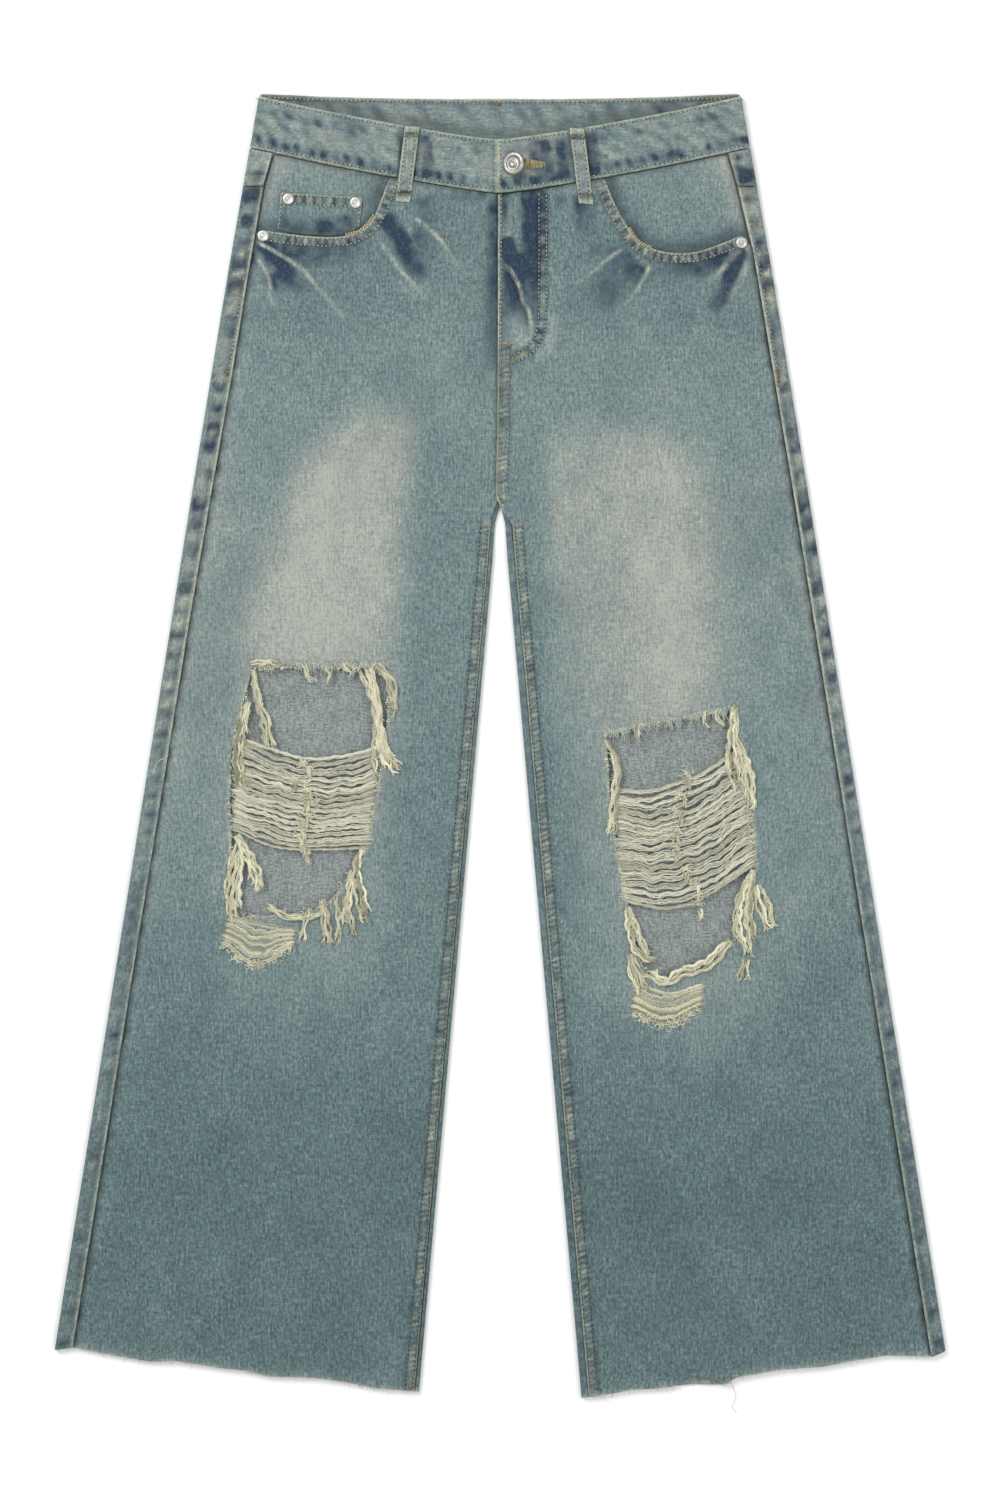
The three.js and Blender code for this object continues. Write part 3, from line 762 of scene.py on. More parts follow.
class Signal:
    """An output of a shader node that takes Python's arithmetic."""

    def __init__(self, bench: "Bench", socket: bpy.types.NodeSocket) -> None:
        """Wrap a socket of the bench's node tree."""
        self.bench = bench
        self.socket = socket

    def math(self, operation: str, *others: "Feed", first: "Feed | None" = None) -> "Signal":
        """Add a Math node that starts from this signal, or from first."""
        start = self if first is None else first
        return self.bench.add("ShaderNodeMath", {"operation": operation}, dict(enumerate((start, *others))))

    def __add__(self, other: "Feed") -> "Signal":
        """Add."""
        return self.math("ADD", other)

    __radd__ = __add__

    def __mul__(self, other: "Feed") -> "Signal":
        """Multiply."""
        return self.math("MULTIPLY", other)

    __rmul__ = __mul__

    def __sub__(self, other: "Feed") -> "Signal":
        """Subtract."""
        return self.math("SUBTRACT", other)

    def __rsub__(self, other: "Feed") -> "Signal":
        """Subtract this from a number."""
        return self.math("SUBTRACT", self, first=other)

    def clamped(self) -> "Signal":
        """Keep within 0 and 1."""
        return self.math("MINIMUM", 1.0).math("MAXIMUM", 0.0)

    def over(self, low: float, high: float) -> "Signal":
        """Rise from 0 at low to 1 at high."""
        return self.bench.add(
            "ShaderNodeMapRange",
            {"interpolation_type": "SMOOTHSTEP"},
            {"Value": self, "From Min": low, "From Max": high},
        )


# What a node's input takes.
Feed = Signal | float | tuple


class Bench:
    """One material's node tree, and the methods that add nodes to it."""

    def __init__(self, name: str) -> None:
        """Start a material with only its output and its shader."""
        self.material = bpy.data.materials.new(name)
        self.material.use_nodes = True
        self.tree = self.material.node_tree
        self.shader = self.tree.nodes["Principled BSDF"]

    def add(self, kind: str, settings: dict | None = None, inputs: dict | None = None,
            output: int | str = 0) -> Signal:
        """Add a node.

        Args:
            kind: The node's type.
            settings: Its properties, set first.
            inputs: Values or signals by socket name or number.
            output: Which output to give back.

        Returns:
            The output as a signal.
        """
        node = self.tree.nodes.new(kind)
        for key, value in (settings or {}).items():
            setattr(node, key, value)
        for key, value in (inputs or {}).items():
            self.feed(node.inputs[key], value)
        return Signal(self, node.outputs[output])

    def feed(self, socket: bpy.types.NodeSocket, value: Feed) -> None:
        """Link a signal to a socket, or set the socket's value."""
        if isinstance(value, Signal):
            self.tree.links.new(value.socket, socket)
        else:
            socket.default_value = value

    def place(self, flat: bool, stretch: tuple[float, float, float] = (1, 1, 1), turn: float = 0.0) -> Signal:
        """Give the piece's flat or object coordinates, stretched and turned."""
        if flat:
            source = self.add("ShaderNodeUVMap", {"uv_map": "cloth"})
        else:
            source = self.add("ShaderNodeTexCoord", output="Object")
        return self.add(
            "ShaderNodeMapping", None, {"Vector": source, "Scale": stretch, "Rotation": (0, 0, turn)}
        )

    def swing(self, size: float, stretch: tuple[float, float, float] = (1, 1, 1), turn: float = 0.0,
              detail: float = 2, rough: float = 0.6, flat: bool = True) -> Signal:
        """Add noise about zero over the piece, with features about size millimetres across."""
        return self.noise(self.place(flat, stretch, turn), size, detail, rough) - 0.5

    def noise(self, where: Signal, size: float, detail: float = 3.0, rough: float = 0.55) -> Signal:
        """Add noise whose features are about size millimetres across."""
        inputs = {"Vector": where, "Scale": 1 / (size * MM), "Detail": detail, "Roughness": rough}
        return self.add("ShaderNodeTexNoise", {"noise_dimensions": "3D"}, inputs)

    def blend(self, low: Feed, high: Feed, share: Feed, mode: str = "MIX") -> Signal:
        """Mix two colours."""
        return self.add(
            "ShaderNodeMix",
            {"data_type": "RGBA", "blend_type": mode, "clamp_factor": True},
            {0: share, 6: low, 7: high},
            output=2,
        )

    def ramp(self, value: Signal, stops: Sequence[tuple[float, tuple]]) -> Signal:
        """Add a colour ramp."""
        node = self.tree.nodes.new("ShaderNodeValToRGB")
        elements = node.color_ramp.elements
        elements[0].position, elements[0].color = stops[0]
        elements[1].position, elements[1].color = stops[-1]
        for position, colour in stops[1:-1]:
            elements.new(position).color = colour
        self.feed(node.inputs[0], value)
        return Signal(self, node.outputs[0])

    def finish(self, colour: Signal, rough: Feed, height: Signal, depth: float, strength: float,
               specular: float = 0.5) -> Material:
        """Feed the shader its colour, roughness and bump, and give the material.

        Args:
            colour: Base colour.
            rough: Roughness.
            height: Height of the bump.
            depth: Its depth in millimetres.
            strength: Its strength.
            specular: Level of the mirrored light.

        Returns:
            The material.
        """
        inputs = {"Height": height, "Distance": depth * MM, "Strength": strength}
        self.feed(self.shader.inputs["Base Color"], colour)
        self.feed(self.shader.inputs["Roughness"], rough)
        self.feed(self.shader.inputs["Normal"], self.add("ShaderNodeBump", None, inputs))
        self.shader.inputs["Specular IOR Level"].default_value = specular
        return self.material


def rgb(red: int, green: int, blue: int) -> tuple[float, float, float, float]:
    """Turn a colour as the eye sees it, 0 to 255, into linear light."""
    return (*(((c / 255 + 0.055) / 1.055) ** 2.4 for c in (red, green, blue)), 1.0)


@dataclass(frozen=True)
class DenimFinish:
    """Washed twill: dark warp showing between pale weft, faded and abraded by washing, and darkened where
    painted shade lies.
    """

    name: str = "washed_denim"
    stops: tuple = (
        (0.0, rgb(82, 105, 107)),
        (0.17, rgb(98, 121, 122)),
        (0.32, rgb(112, 135, 136)),
        (0.55, rgb(138, 156, 155)),
        (0.83, rgb(170, 177, 169)),
        (1.0, rgb(192, 196, 185)),
    )
    indigo: tuple = rgb(42, 60, 84)
    bare: tuple = rgb(196, 200, 180)
    warm: tuple = rgb(150, 157, 138)
    cool: tuple = rgb(96, 122, 142)
    grain: float = 0.34
    streaks: float = 0.17
    depth: float = 0.78

    def make(self) -> Material:
        """Build the material."""
        bench = Bench(self.name)
        wash = bench.add("ShaderNodeAttribute", {"attribute_name": "wash"}, output="Color")
        # The attribute's alpha is painted shade.
        shade = bench.add("ShaderNodeAttribute", {"attribute_name": "wash"}, output="Alpha")
        parts = bench.tree.nodes.new("ShaderNodeSeparateColor")
        bench.feed(parts.inputs[0], wash)
        fade, indigo, bare = (Signal(bench, parts.outputs[k]) for k in range(3))
        cloud = bench.swing(9, detail=3)
        speck = bench.swing(2.0, (1, 0.6, 1), detail=3, rough=0.65)
        fine = bench.swing(0.75)
        slub = bench.swing(1.2, (1, 0.07, 1))
        pick = bench.swing(1.2, (0.1, 1, 1))
        diagonal = bench.swing(1.6, (1, 0.16, 1), 0.6)
        grain = speck * 2.6 + fine * 1.5 + diagonal * 1.1
        lines = slub * 2.2 + pick * 1.6
        uneven = grain * self.grain + lines * self.streaks + cloud * 0.16
        colour = bench.ramp((fade + uneven).clamped(), self.stops)
        deep = (indigo * (1 + grain * 0.45 + lines * 0.5 + cloud * 0.5)).clamped()
        colour = bench.blend(colour, self.indigo, deep)
        rubbed = (bare * (1 + grain * 0.7 + lines * 0.3 + cloud)).clamped()
        colour = bench.blend(colour, self.bare, rubbed)
        tint = bench.swing(2.6, (1, 0.7, 1))
        colour = bench.blend(colour, self.warm, (tint * 1.2).clamped())
        colour = bench.blend(colour, self.cool, (tint * -1.5).clamped())
        # Darken the colour where painted shade lies.
        dim = 1 - (shade * (1 + grain * 0.5)).clamped() * 0.78
        lit = dim * (self.depth + grain * (0.4 - fade * 0.34) + lines * 0.13)
        grey = bench.add("ShaderNodeCombineColor", None, {0: lit, 1: lit, 2: lit})
        colour = bench.blend(colour, grey, 1.0, "MULTIPLY")
        twill = bench.add(
            "ShaderNodeTexWave",
            {"wave_type": "BANDS", "bands_direction": "DIAGONAL", "wave_profile": "SIN"},
            {"Vector": bench.place(True), "Scale": 1 / (7.0 * MM), "Distortion": 2.0, "Detail": 2.0},
        )
        height = twill * 0.3 + speck * 1.2 + fine * 0.8 + slub * 0.6 + diagonal * 0.6
        bench.shader.inputs["Sheen Weight"].default_value = 0.08
        bench.shader.inputs["Sheen Roughness"].default_value = 0.5
        return bench.finish(colour, 0.84 + grain * 0.04, height, 0.45, 0.6, 0.2)


@dataclass(frozen=True)
class InsideFinish:
    """The inner face of the denim, where the pale weft shows."""

    name: str = "denim_inside"
    low: tuple = rgb(102, 110, 111)
    high: tuple = rgb(158, 166, 163)

    def make(self) -> Material:
        """Build the material."""
        bench = Bench(self.name)
        fleck = bench.swing(1.4, (0.5, 1, 1))
        pick = bench.swing(1.0, (0.1, 1, 1))
        slub = bench.swing(1.0, (1, 0.1, 1))
        level = 0.5 + bench.swing(16, detail=3) * 0.7 + fleck * 2.4 + pick + slub * 1.9
        colour = bench.blend(self.low, self.high, level.clamped())
        return bench.finish(colour, 0.86 + fleck * 0.1, fleck * 0.6 + pick * 0.5, 0.3, 0.4, 0.2)


@dataclass(frozen=True)
class YarnFinish:
    """Cotton yarn: fuzzy, with each thread's own shade."""

    name: str
    low: tuple
    high: tuple

    def make(self) -> Material:
        """Build the material."""
        bench = Bench(self.name)
        tone = bench.add("ShaderNodeAttribute", {"attribute_name": "tone"}, output="Fac")
        fuzz = bench.swing(0.8, detail=3, rough=0.65, flat=False)
        level = (tone + fuzz * 0.9 + bench.swing(12, rough=0.5, flat=False) * 0.4).clamped()
        return bench.finish(bench.blend(self.low, self.high, level), 0.88 + fuzz * 0.1, fuzz, 0.25, 0.6, 0.15)


@dataclass(frozen=True)
class MetalFinish:
    """Worn plated metal with dull scratches and patches of grime."""

    name: str = "worn_silver"
    bright: tuple = rgb(178, 177, 171)
    dull: tuple = rgb(78, 77, 72)

    def make(self) -> Material:
        """Build the material."""
        bench = Bench(self.name)
        stain = bench.swing(4, detail=4, rough=0.65, flat=False)
        scratch = bench.swing(0.6, (1, 0.12, 1), 0.6, 3, 0.7, False)
        level = (0.25 + stain * 1.4 + scratch * 0.8).clamped()
        colour = bench.blend(self.bright, self.dull, level)
        bench.feed(bench.shader.inputs["Metallic"], 1.0 - level * 0.25)
        return bench.finish(colour, 0.34 + level * 0.25, scratch + stain * 0.5, 0.06, 0.35)


@dataclass(frozen=True)
class TapeFinish:
    """The woven tape of the zip."""

    name: str = "zip_tape"
    low: tuple = rgb(38, 48, 66)
    high: tuple = rgb(64, 76, 96)

    def make(self) -> Material:
        """Build the material."""
        bench = Bench(self.name)
        rib = bench.swing(0.7, (1, 0.4, 1), rough=0.5, flat=False)
        colour = bench.blend(self.low, self.high, rib.over(-0.15, 0.15))
        return bench.finish(colour, 0.775 + rib * 0.15, rib, 0.2, 0.5)


class Finishes:
    """Every finish of the garment, made once."""

    def __init__(self) -> None:
        """Make the materials."""
        self.denim = DenimFinish().make()
        self.inside = InsideFinish().make()
        self.raw = YarnFinish("raw_edge", rgb(112, 124, 124), rgb(206, 206, 192)).make()
        self.cream = YarnFinish("cream_yarn", rgb(146, 145, 122), rgb(244, 241, 214)).make()
        self.weft = YarnFinish("grey_weft", rgb(150, 149, 132), rgb(240, 238, 218)).make()
        self.teal = YarnFinish("teal_yarn", rgb(106, 128, 134), rgb(208, 212, 198)).make()
        self.pale = YarnFinish("pale_topstitch", rgb(120, 126, 116), rgb(200, 200, 178)).make()
        self.gold = YarnFinish("gold_bartack", rgb(80, 76, 64), rgb(204, 192, 150)).make()
        # Dark thread, for the dark rows and for the painted shade in the needle holes.
        self.dark = YarnFinish("dark_thread", rgb(40, 48, 54), rgb(84, 94, 98)).make()
        self.metal = MetalFinish().make()
        self.bright = MetalFinish("bright_silver", rgb(228, 228, 224), rgb(128, 126, 120)).make()
        self.tape = TapeFinish().make()

    @property
    def cloth(self) -> list[Material]:
        """Outer face, inner face and raw rim."""
        return [self.denim, self.inside, self.raw]

    @property
    def faced(self) -> list[Material]:
        """Denim on both faces, for folded pieces."""
        return [self.denim, self.denim, self.denim]


# ---- Threads ----------------------------------------------------------------------------


class Threads:
    """Many thin round threads gathered into one mesh."""

    def __init__(self) -> None:
        """Start with none."""
        self.points: list[Array] = []
        self.faces: list[list[int]] = []
        self.tones: list[Array] = []
        self.count = 0

    def add(self, line: Array, radius: Array | float, tone: float, sides: int = 5) -> None:
        """Add one thread along a line of 3-D points.

        Args:
            line: The points, n by 3.
            radius: One radius, or one for each point.
            tone: The thread's own shade, 0 to 1.
            sides: How many sides the thread has.
        """
        n = len(line)
        way = np.gradient(line, axis=0)
        way /= np.linalg.norm(way, axis=1)[:, None] + 1e-9
        across = np.cross(way, (0.0, 0.0, 1.0)) + (1e-6, 0, 0)
        across /= np.linalg.norm(across, axis=1)[:, None]
        up = np.cross(across, way)
        angle = np.linspace(0, 2 * math.pi, sides, endpoint=False)[:, None]
        reach = np.broadcast_to(np.asarray(radius, float), n)[:, None, None]
        rings = line[:, None] + reach * (np.cos(angle) * across[:, None] + np.sin(angle) * up[:, None])
        ids = self.count + np.arange(n * sides).reshape(n, sides)
        after = np.roll(ids, -1, axis=1)
        quads = np.stack([after[:-1], ids[:-1], ids[1:], after[1:]], axis=-1).reshape(-1, 4)
        self.faces += [*quads.tolist(), ids[0].tolist(), ids[-1, ::-1].tolist()]
        self.points.append(rings.reshape(-1, 3))
        self.tones.append(np.full(n * sides, tone))
        self.count += n * sides

    def build(self, name: str, material: Material, slot: str = "thread") -> Piece:
        """Write all the threads as one piece that rides on the garment."""
        tone = np.concatenate(self.tones)
        solid = Solid(np.vstack(self.points), self.faces, np.zeros(len(self.faces)), tone=tone)
        piece = solid.build(name, [material], 80)
        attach(piece, "root")
        LOG.info("%s: %d threads' points", name, self.count)
        return piece


@dataclass
class Sewing:
    """Rows of topstitching and bartacks laid on the cloth, with short dark threads between stitches as
    painted shade in the needle holes.
    """

    rng: np.random.Generator
    pale: Threads = field(default_factory=Threads)
    gold: Threads = field(default_factory=Threads)
    dark: Threads = field(default_factory=Threads)

    def row(self, path: Path, surface: Height, length: float = 2.2, gap: float = 1.2,
            radius: float = 0.34, down: bool = False, gold: bool = False, dark: bool = False) -> None:
        """Sew one row.

        Args:
            path: The row's line.
            surface: Height of the cloth it lies on.
            length: Length of a stitch.
            gap: Length between stitches.
            radius: Half the thread's thickness.
            down: True on a face that looks down.
            gold: True for the brown-gold thread.
            dark: True for the dark thread.
        """
        rng, sign = self.rng, -1 if down else 1
        line = path.laid(0.5)
        run = np.concatenate([[0], np.cumsum(np.hypot(*np.diff(line, axis=0).T))])
        lift = np.array([-0.12, 0.24, 0.26, -0.12]) * sign
        thick = radius * np.array([0.35, 1.0, 1.0, 0.35])
        start = rng.uniform(0, gap)
        threads = self.gold if gold else self.dark if dark else self.pale
        tones = (0.75, 1.0) if gold else (0.2, 0.9)

        def spots(places: Array) -> Array:
            """Points of the line at these distances past the stitch's start."""
            return np.stack([np.interp(start + places, run, line[:, k]) for k in (0, 1)])

        while start + length < run[-1]:
            x, y = spots(length * np.array([0, 0.22, 0.78, 1])) + rng.normal(0, 0.06, 2)[:, None]
            threads.add(np.column_stack([x, y, surface(x, y) + lift]), thick, rng.uniform(*tones), 4)
            # A short dark thread across each gap is painted shade in the needle hole.
            x, y = spots(length + np.array([-0.2, gap + 0.2]))
            if not dark:
                hole = np.column_stack([x, y, surface(x, y) + 0.1 * sign])
                self.dark.add(hole, radius, rng.uniform(0, 1), 3)
            start += length + gap * rng.uniform(0.8, 1.25)

    def bartack(self, start: Point, end: Point, width: float, surface: Height, down: bool = False) -> None:
        """Sew a dense zigzag bar from start to end."""
        (x0, y0), (x1, y1) = start, end
        length = math.hypot(x1 - x0, y1 - y0)
        way = np.array([x1 - x0, y1 - y0]) / length
        side = np.array([-way[1], way[0]]) * width / 2
        count = max(4, round(length / 0.55))
        for k in range(count):
            middle = np.array([x0, y0]) + way * length * (k + 0.5) / count
            slant = way * 0.25 * (-1) ** k
            reach = side + slant
            ends = np.array([middle - reach, middle - 0.4 * side, middle + 0.4 * side, middle + reach])
            ends += self.rng.normal(0, 0.07, ends.shape)
            lift = np.array([0.0, 0.42, 0.42, 0.0]) * (-1 if down else 1)
            z = surface(ends[:, 0], ends[:, 1]) + lift
            self.gold.add(np.column_stack([ends, z]), 0.3, self.rng.uniform(0.0, 0.5), 4)


# ---- The garment's pieces ---------------------------------------------------------------


@dataclass
class Garment:
    """What every piece shares: its finishes, its sewing and its random numbers."""

    finishes: Finishes
    sewing: Sewing
    rng: np.random.Generator


TONE = (
    (-530, 0.2), (-450, 0.18), (-330, 0.17), (-290, 0.21), (-245, 0.26), (-200, 0.31), (-120, 0.35),
    (120, 0.41), (280, 0.47), (320, 0.44), (400, 0.31), (440, 0.39), (470, 0.54), (540, 0.57),
)
BROAD = Clouds(5, 46.0)
MIDDLE = Clouds(6, 12.0, 1.5)
SLUBS = Clouds(9, 4.5, 14.0)
BLUE = Clouds(12, 30.0, 1.3)


def washed_and_shaded(traces: Sequence[Trace], x: Array, y: Array, bleaches: Sequence[Bleach] = ()) -> Array:
    """Give fade, indigo, bare and painted shade at each point of the cloth's outer face."""
    result = np.stack([traced(traces, layer, x, y) for layer in list(Layer)[:4]], axis=1)
    faded = sum((bleach.value(x, y) for bleach in bleaches), start=np.zeros(len(x)))
    faded *= 1 + 0.07 * MIDDLE(x, y) + 0.03 * SLUBS(x, y)
    uneven = 0.045 * BROAD(x, y) + 0.035 * MIDDLE(x, y) + 0.012 * SLUBS(x, y)
    result[:, 0] += at(TONE, y) + faded + uneven
    result[:, 1] += np.clip(0.12 * BLUE(x, y), 0, 1)
    return result


def strokes(layer: Layer, *rows: tuple[tuple[Point, ...], float, float, float], **same: float) -> list[Trace]:
    """Turn rows of points, core, reach and amount into traces of one layer."""
    return [Trace(layer, Path(points), core, reach, amount, **same) for points, core, reach, amount in rows]


@dataclass
class Fray:
    """Loose yarn over the cloth: drawn weft, tassels, curls and fringes."""

    surface: Height
    rng: np.random.Generator
    threads: Threads = field(default_factory=Threads)

    def put(self, x: Array, y: Array, high: Array, thick: Array | float, tone: float, sides: int = 4) -> None:
        """Lay one thread at a height over the cloth."""
        self.threads.add(np.column_stack([x, y, self.surface(x, y) + high]), thick, tone, sides)

    def wave(self, run: Array, low: float, high: float) -> Array:
        """Swing between -1 and 1 along a run, with a random speed and start."""
        return np.sin(run * self.rng.uniform(low, high) + self.rng.uniform(0, 6))

    def strands(self, top: tuple[Point, ...], bottom: tuple[Point, ...], yarns: int, slits: int,
                lift: float, shade: float = 0.48) -> None:
        """Lay weft yarns from one side of the tear to the other, drawn apart by slits.

        Args:
            top: Line of the highest yarn.
            bottom: Line of the lowest yarn.
            yarns: How many yarns.
            slits: How many slits open between them.
            lift: Height over the cloth.
            shade: The yarns' usual shade, 0 to 1.
        """
        rng = self.rng
        count = 60
        t = np.linspace(0, 1, count)
        ends = [Path(line) for line in (top, bottom)]
        upper, lower = (line.laid(line.length / (count - 1))[:count] for line in ends)
        gaps = np.zeros((yarns, count))
        for k in range(slits):
            seam = k < 0.62 * slits
            place = rng.integers(1, yarns // 5 + 1) * 5 - 1 if seam else rng.integers(yarns)
            centre, half = rng.uniform(0.06, 0.94), rng.uniform(0.1, 0.3) if seam else rng.uniform(0.05, 0.14)
            tall = rng.uniform(1.3, 3.0) if seam else rng.uniform(0.4, 1.2)
            tall *= 1.5 if place < yarns * 0.25 else 1.0
            lens = np.clip(1 - np.square((t - centre) / half), 0, 1) ** 0.6
            gaps[place] = np.maximum(gaps[place], tall * lens * (1 + 0.3 * np.sin(30 * t + k)))
        gaps *= np.minimum(1, 9 * np.minimum(t, 1 - t))
        share = np.cumsum(1 + gaps, axis=0) - 0.5 - gaps[0]
        share /= share[-1] + 0.5
        sway = Clouds(int(rng.integers(1e6)), 8.0)
        for v in share:
            x, y = (upper * (1 - v[:, None]) + lower * v[:, None]).T
            edge = np.minimum(1, 8 * np.minimum(t, 1 - t))
            y = y + edge * (0.5 * sway(x, 3.2 * y) + 0.3 * self.wave(t, 50, 110))
            reach = rng.uniform(0.3, 4.5, 2)
            x[:2] -= np.array([1, 0.5]) * reach[0]
            x[-2:] += np.array([0.5, 1]) * reach[1]
            high = lift + 0.25 - 0.6 * np.minimum(1, 14 * np.minimum(t, 1 - t)) + 0.3 * sway(y * 2, x)
            high += rng.uniform(-0.25, 0.25)
            thick = rng.uniform(0.33, 0.46) * (1 + 0.16 * self.wave(t, 90, 150))
            thick[[0, -1]] *= 0.4
            self.put(x, y, high, thick, float(np.clip(rng.normal(shade, 0.24), 0, 1)))

    def tassel(self, line: tuple[Point, ...], widths: tuple[float, ...], yarns: int) -> None:
        """Hang a loose bundle of kinked, twisted locks of yarn along a line."""
        rng = self.rng
        guide = Path(line)
        spine = guide.laid(1.9)
        n = len(spine)
        way = np.gradient(spine, axis=0)
        way /= np.hypot(way[:, 0], way[:, 1])[:, None]
        side = np.stack([-way[:, 1], way[:, 0]], axis=1)
        t = np.linspace(0, 1, n)
        run = t * guide.length
        width = np.interp(t, np.linspace(0, 1, len(widths)), widths)
        locks = max(2, round(max(widths) / 2.6))
        for lock in range(locks):
            place = (lock + 0.5) / locks - 0.5 + rng.normal(0, 0.05)
            bend = 0.75 * np.sin(run / rng.uniform(1.6, 3.4) + rng.uniform(0, 6)) * np.minimum(1, 4 * t)
            first = 0 if lock % 2 else int(n * rng.uniform(0, 0.2))
            last = min(n, max(first + 6, int(n * rng.uniform(0.75, 1.2))))
            shade = rng.normal(0.48, 0.2)
            top = rng.uniform(0.2, 1.5)
            for _ in range(max(3, round(1.3 * yarns / locks))):
                own = rng.uniform(-1.25, 1.25)
                turn = run / rng.uniform(2.4, 3.4) + rng.uniform(0, 6)
                across = width * place + bend + own * (0.6 + 0.4 * np.cos(turn))
                across = across + 0.28 * self.wave(run, 1.4, 2.4)
                high = 0.3 + top + 0.55 * (1.3 - np.abs(own)) + 0.5 * np.sin(turn)
                start = min(max(0, first + int(rng.integers(-2, 3))), n - 5)
                stop = min(n, max(start + 5, last + int(rng.integers(-4, 3))))
                flat = spine + side * across[:, None]
                piece = np.column_stack([flat, self.surface(*flat.T) + high])[start:stop]
                tip = np.linspace(0, 1, 4) ** 2
                piece[-4:, :2] += tip[:, None] * rng.normal(0, 1.3, 2)
                thick = np.full(len(piece), rng.uniform(0.42, 0.58))
                thick[[0, -1]] *= 0.5
                self.threads.add(piece, thick, float(np.clip(shade + rng.normal(0, 0.2), 0, 1)), 4)

    def curls(self, line: tuple[Point, ...], width: float, count: int, size: float) -> None:
        """Scatter small tangled loops of yarn along a line."""
        rng = self.rng
        spine = Path(line).laid(0.5)
        for _ in range(count):
            x0, y0 = spine[rng.integers(len(spine))] + rng.normal(0, width / 3, 2)
            angle = np.linspace(0, rng.uniform(2.5, 6.0), 8) * rng.choice([-1, 1]) + rng.uniform(0, 6.28)
            radius = size * rng.uniform(0.4, 1.2) * np.linspace(1, rng.uniform(0.3, 1.6), 8)
            x = x0 + radius * np.cos(angle) + np.linspace(0, rng.normal(0, size), 8)
            y = y0 + radius * np.sin(angle) * rng.uniform(0.5, 1) + np.linspace(0, rng.normal(0, size), 8)
            high = 0.5 + rng.uniform(0, 1.1) + 0.3 * np.sin(angle * 1.3)
            self.put(x, y, high, rng.uniform(0.2, 0.34), rng.uniform(0.45, 1.0), 3)

    def fringe(self, line: Path, length: float, pitch: float, heading: float, spread: float) -> None:
        """Hang short kinked threads from an edge.

        Args:
            line: The edge.
            length: Their usual length.
            pitch: Distance between them.
            heading: The way they point, in radians from +X.
            spread: How far their headings scatter.
        """
        rng = self.rng
        clumps = Clouds(int(rng.integers(1e6)), 5.0)
        t = np.linspace(0, 1, 6)
        for x0, y0 in line.laid(pitch):
            lean = clumps(np.array([x0]), np.array([y0]))[0]
            reach = length * (0.75 + 0.55 * lean) * rng.uniform(0.6, 1.25)
            angle = heading + 0.5 * lean + rng.normal(0, spread)
            curl = rng.normal(0, 1.3) * t**2 + 0.3 * np.sin(t * 9 + rng.uniform(0, 6))
            x = x0 + rng.normal(0, 0.5) + reach * np.cos(angle) * t - np.sin(angle) * curl
            y = y0 + rng.normal(0, 0.4) + reach * np.sin(angle) * t + np.cos(angle) * curl
            high = 0.2 + 0.6 * np.sin(math.pi * t) * rng.uniform(0, 1) + rng.uniform(0, 0.6)
            self.put(x, y, high, rng.uniform(0.24, 0.4) * np.linspace(1, 0.45, 6), rng.uniform(0.3, 1.0))


@dataclass
class Knee:
    """One torn knee: its hole, the weft threads left across it, and its frayed edges."""

    side: Side
    hole: tuple[Point, ...]
    ladder_top: tuple[Point, ...]
    ladder_bottom: tuple[Point, ...]
    knots: tuple[Point, ...]
    patch_top: tuple[Point, ...]
    patch_bottom: tuple[Point, ...]
    top_edge: tuple[Point, ...]
    tassels: tuple[tuple[tuple[Point, ...], tuple[float, ...], int], ...]

    def knot(self, tufts: Fray, spot: Array) -> None:
        """Tangle curls and a tiny tassel round a spot."""
        rng = tufts.rng
        near_by = spot + rng.normal(0, (3.0, 2.0), 2)
        tufts.curls((tuple(near_by), tuple(near_by + rng.normal(0, 4, 2))), 5.0, 20, 1.7)
        drop = near_by + rng.normal(0, (1.5, 1.0), 2)
        tufts.tassel((tuple(drop), tuple(drop - (rng.normal(0, 2), 9))), (2.0, 2.5), 4)

    def build(self, garment: Garment) -> None:
        """Build the tear's threads as three pieces."""
        word, finishes = self.side.word, garment.finishes
        ladder, tufts, hang = (
            Fray(lambda x, y: Pattern.front_top(x, y, self.side), garment.rng) for _ in range(3)
        )
        ladder.strands(self.ladder_top, self.ladder_bottom, 92, 120, 0.0)
        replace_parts(ladder.threads.build(f"knee_threads_{word}", finishes.weft), f"knee_ladder_{word}")
        for line, widths, yarns in self.tassels:
            tufts.tassel(line, widths, yarns)
        knots = Path(self.knots)
        for spot in knots.laid(knots.length / 7):
            self.knot(tufts, spot)
        tufts.strands(self.patch_top, self.patch_bottom, 34, 12, 0.45, 0.36)
        tufts.curls(self.patch_bottom, 6.0, 100, 1.6)
        tufts.curls(tuple(map(tuple, ring(self.hole).laid(3.0))), 3.4, 260, 1.1)
        parts = ("top", "outer", "inner", "lower_outer", "lower_inner")
        tuft_piece = tufts.threads.build(f"knee_fringe_{word}", finishes.cream)
        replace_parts(tuft_piece, *(f"knee_fringe_{word}_{part}" for part in parts))
        edge = Path(self.top_edge)
        for length, pitch, heading, spread in ((9.0, 0.4, -1, 0.35), (4.0, 0.7, -1, 0.8), (2.4, 0.8, 1, 0.7)):
            hang.fringe(edge, length, pitch, heading * math.pi / 2, spread)
        hang.threads.build(f"knee_top_fringe_{word}", finishes.teal)


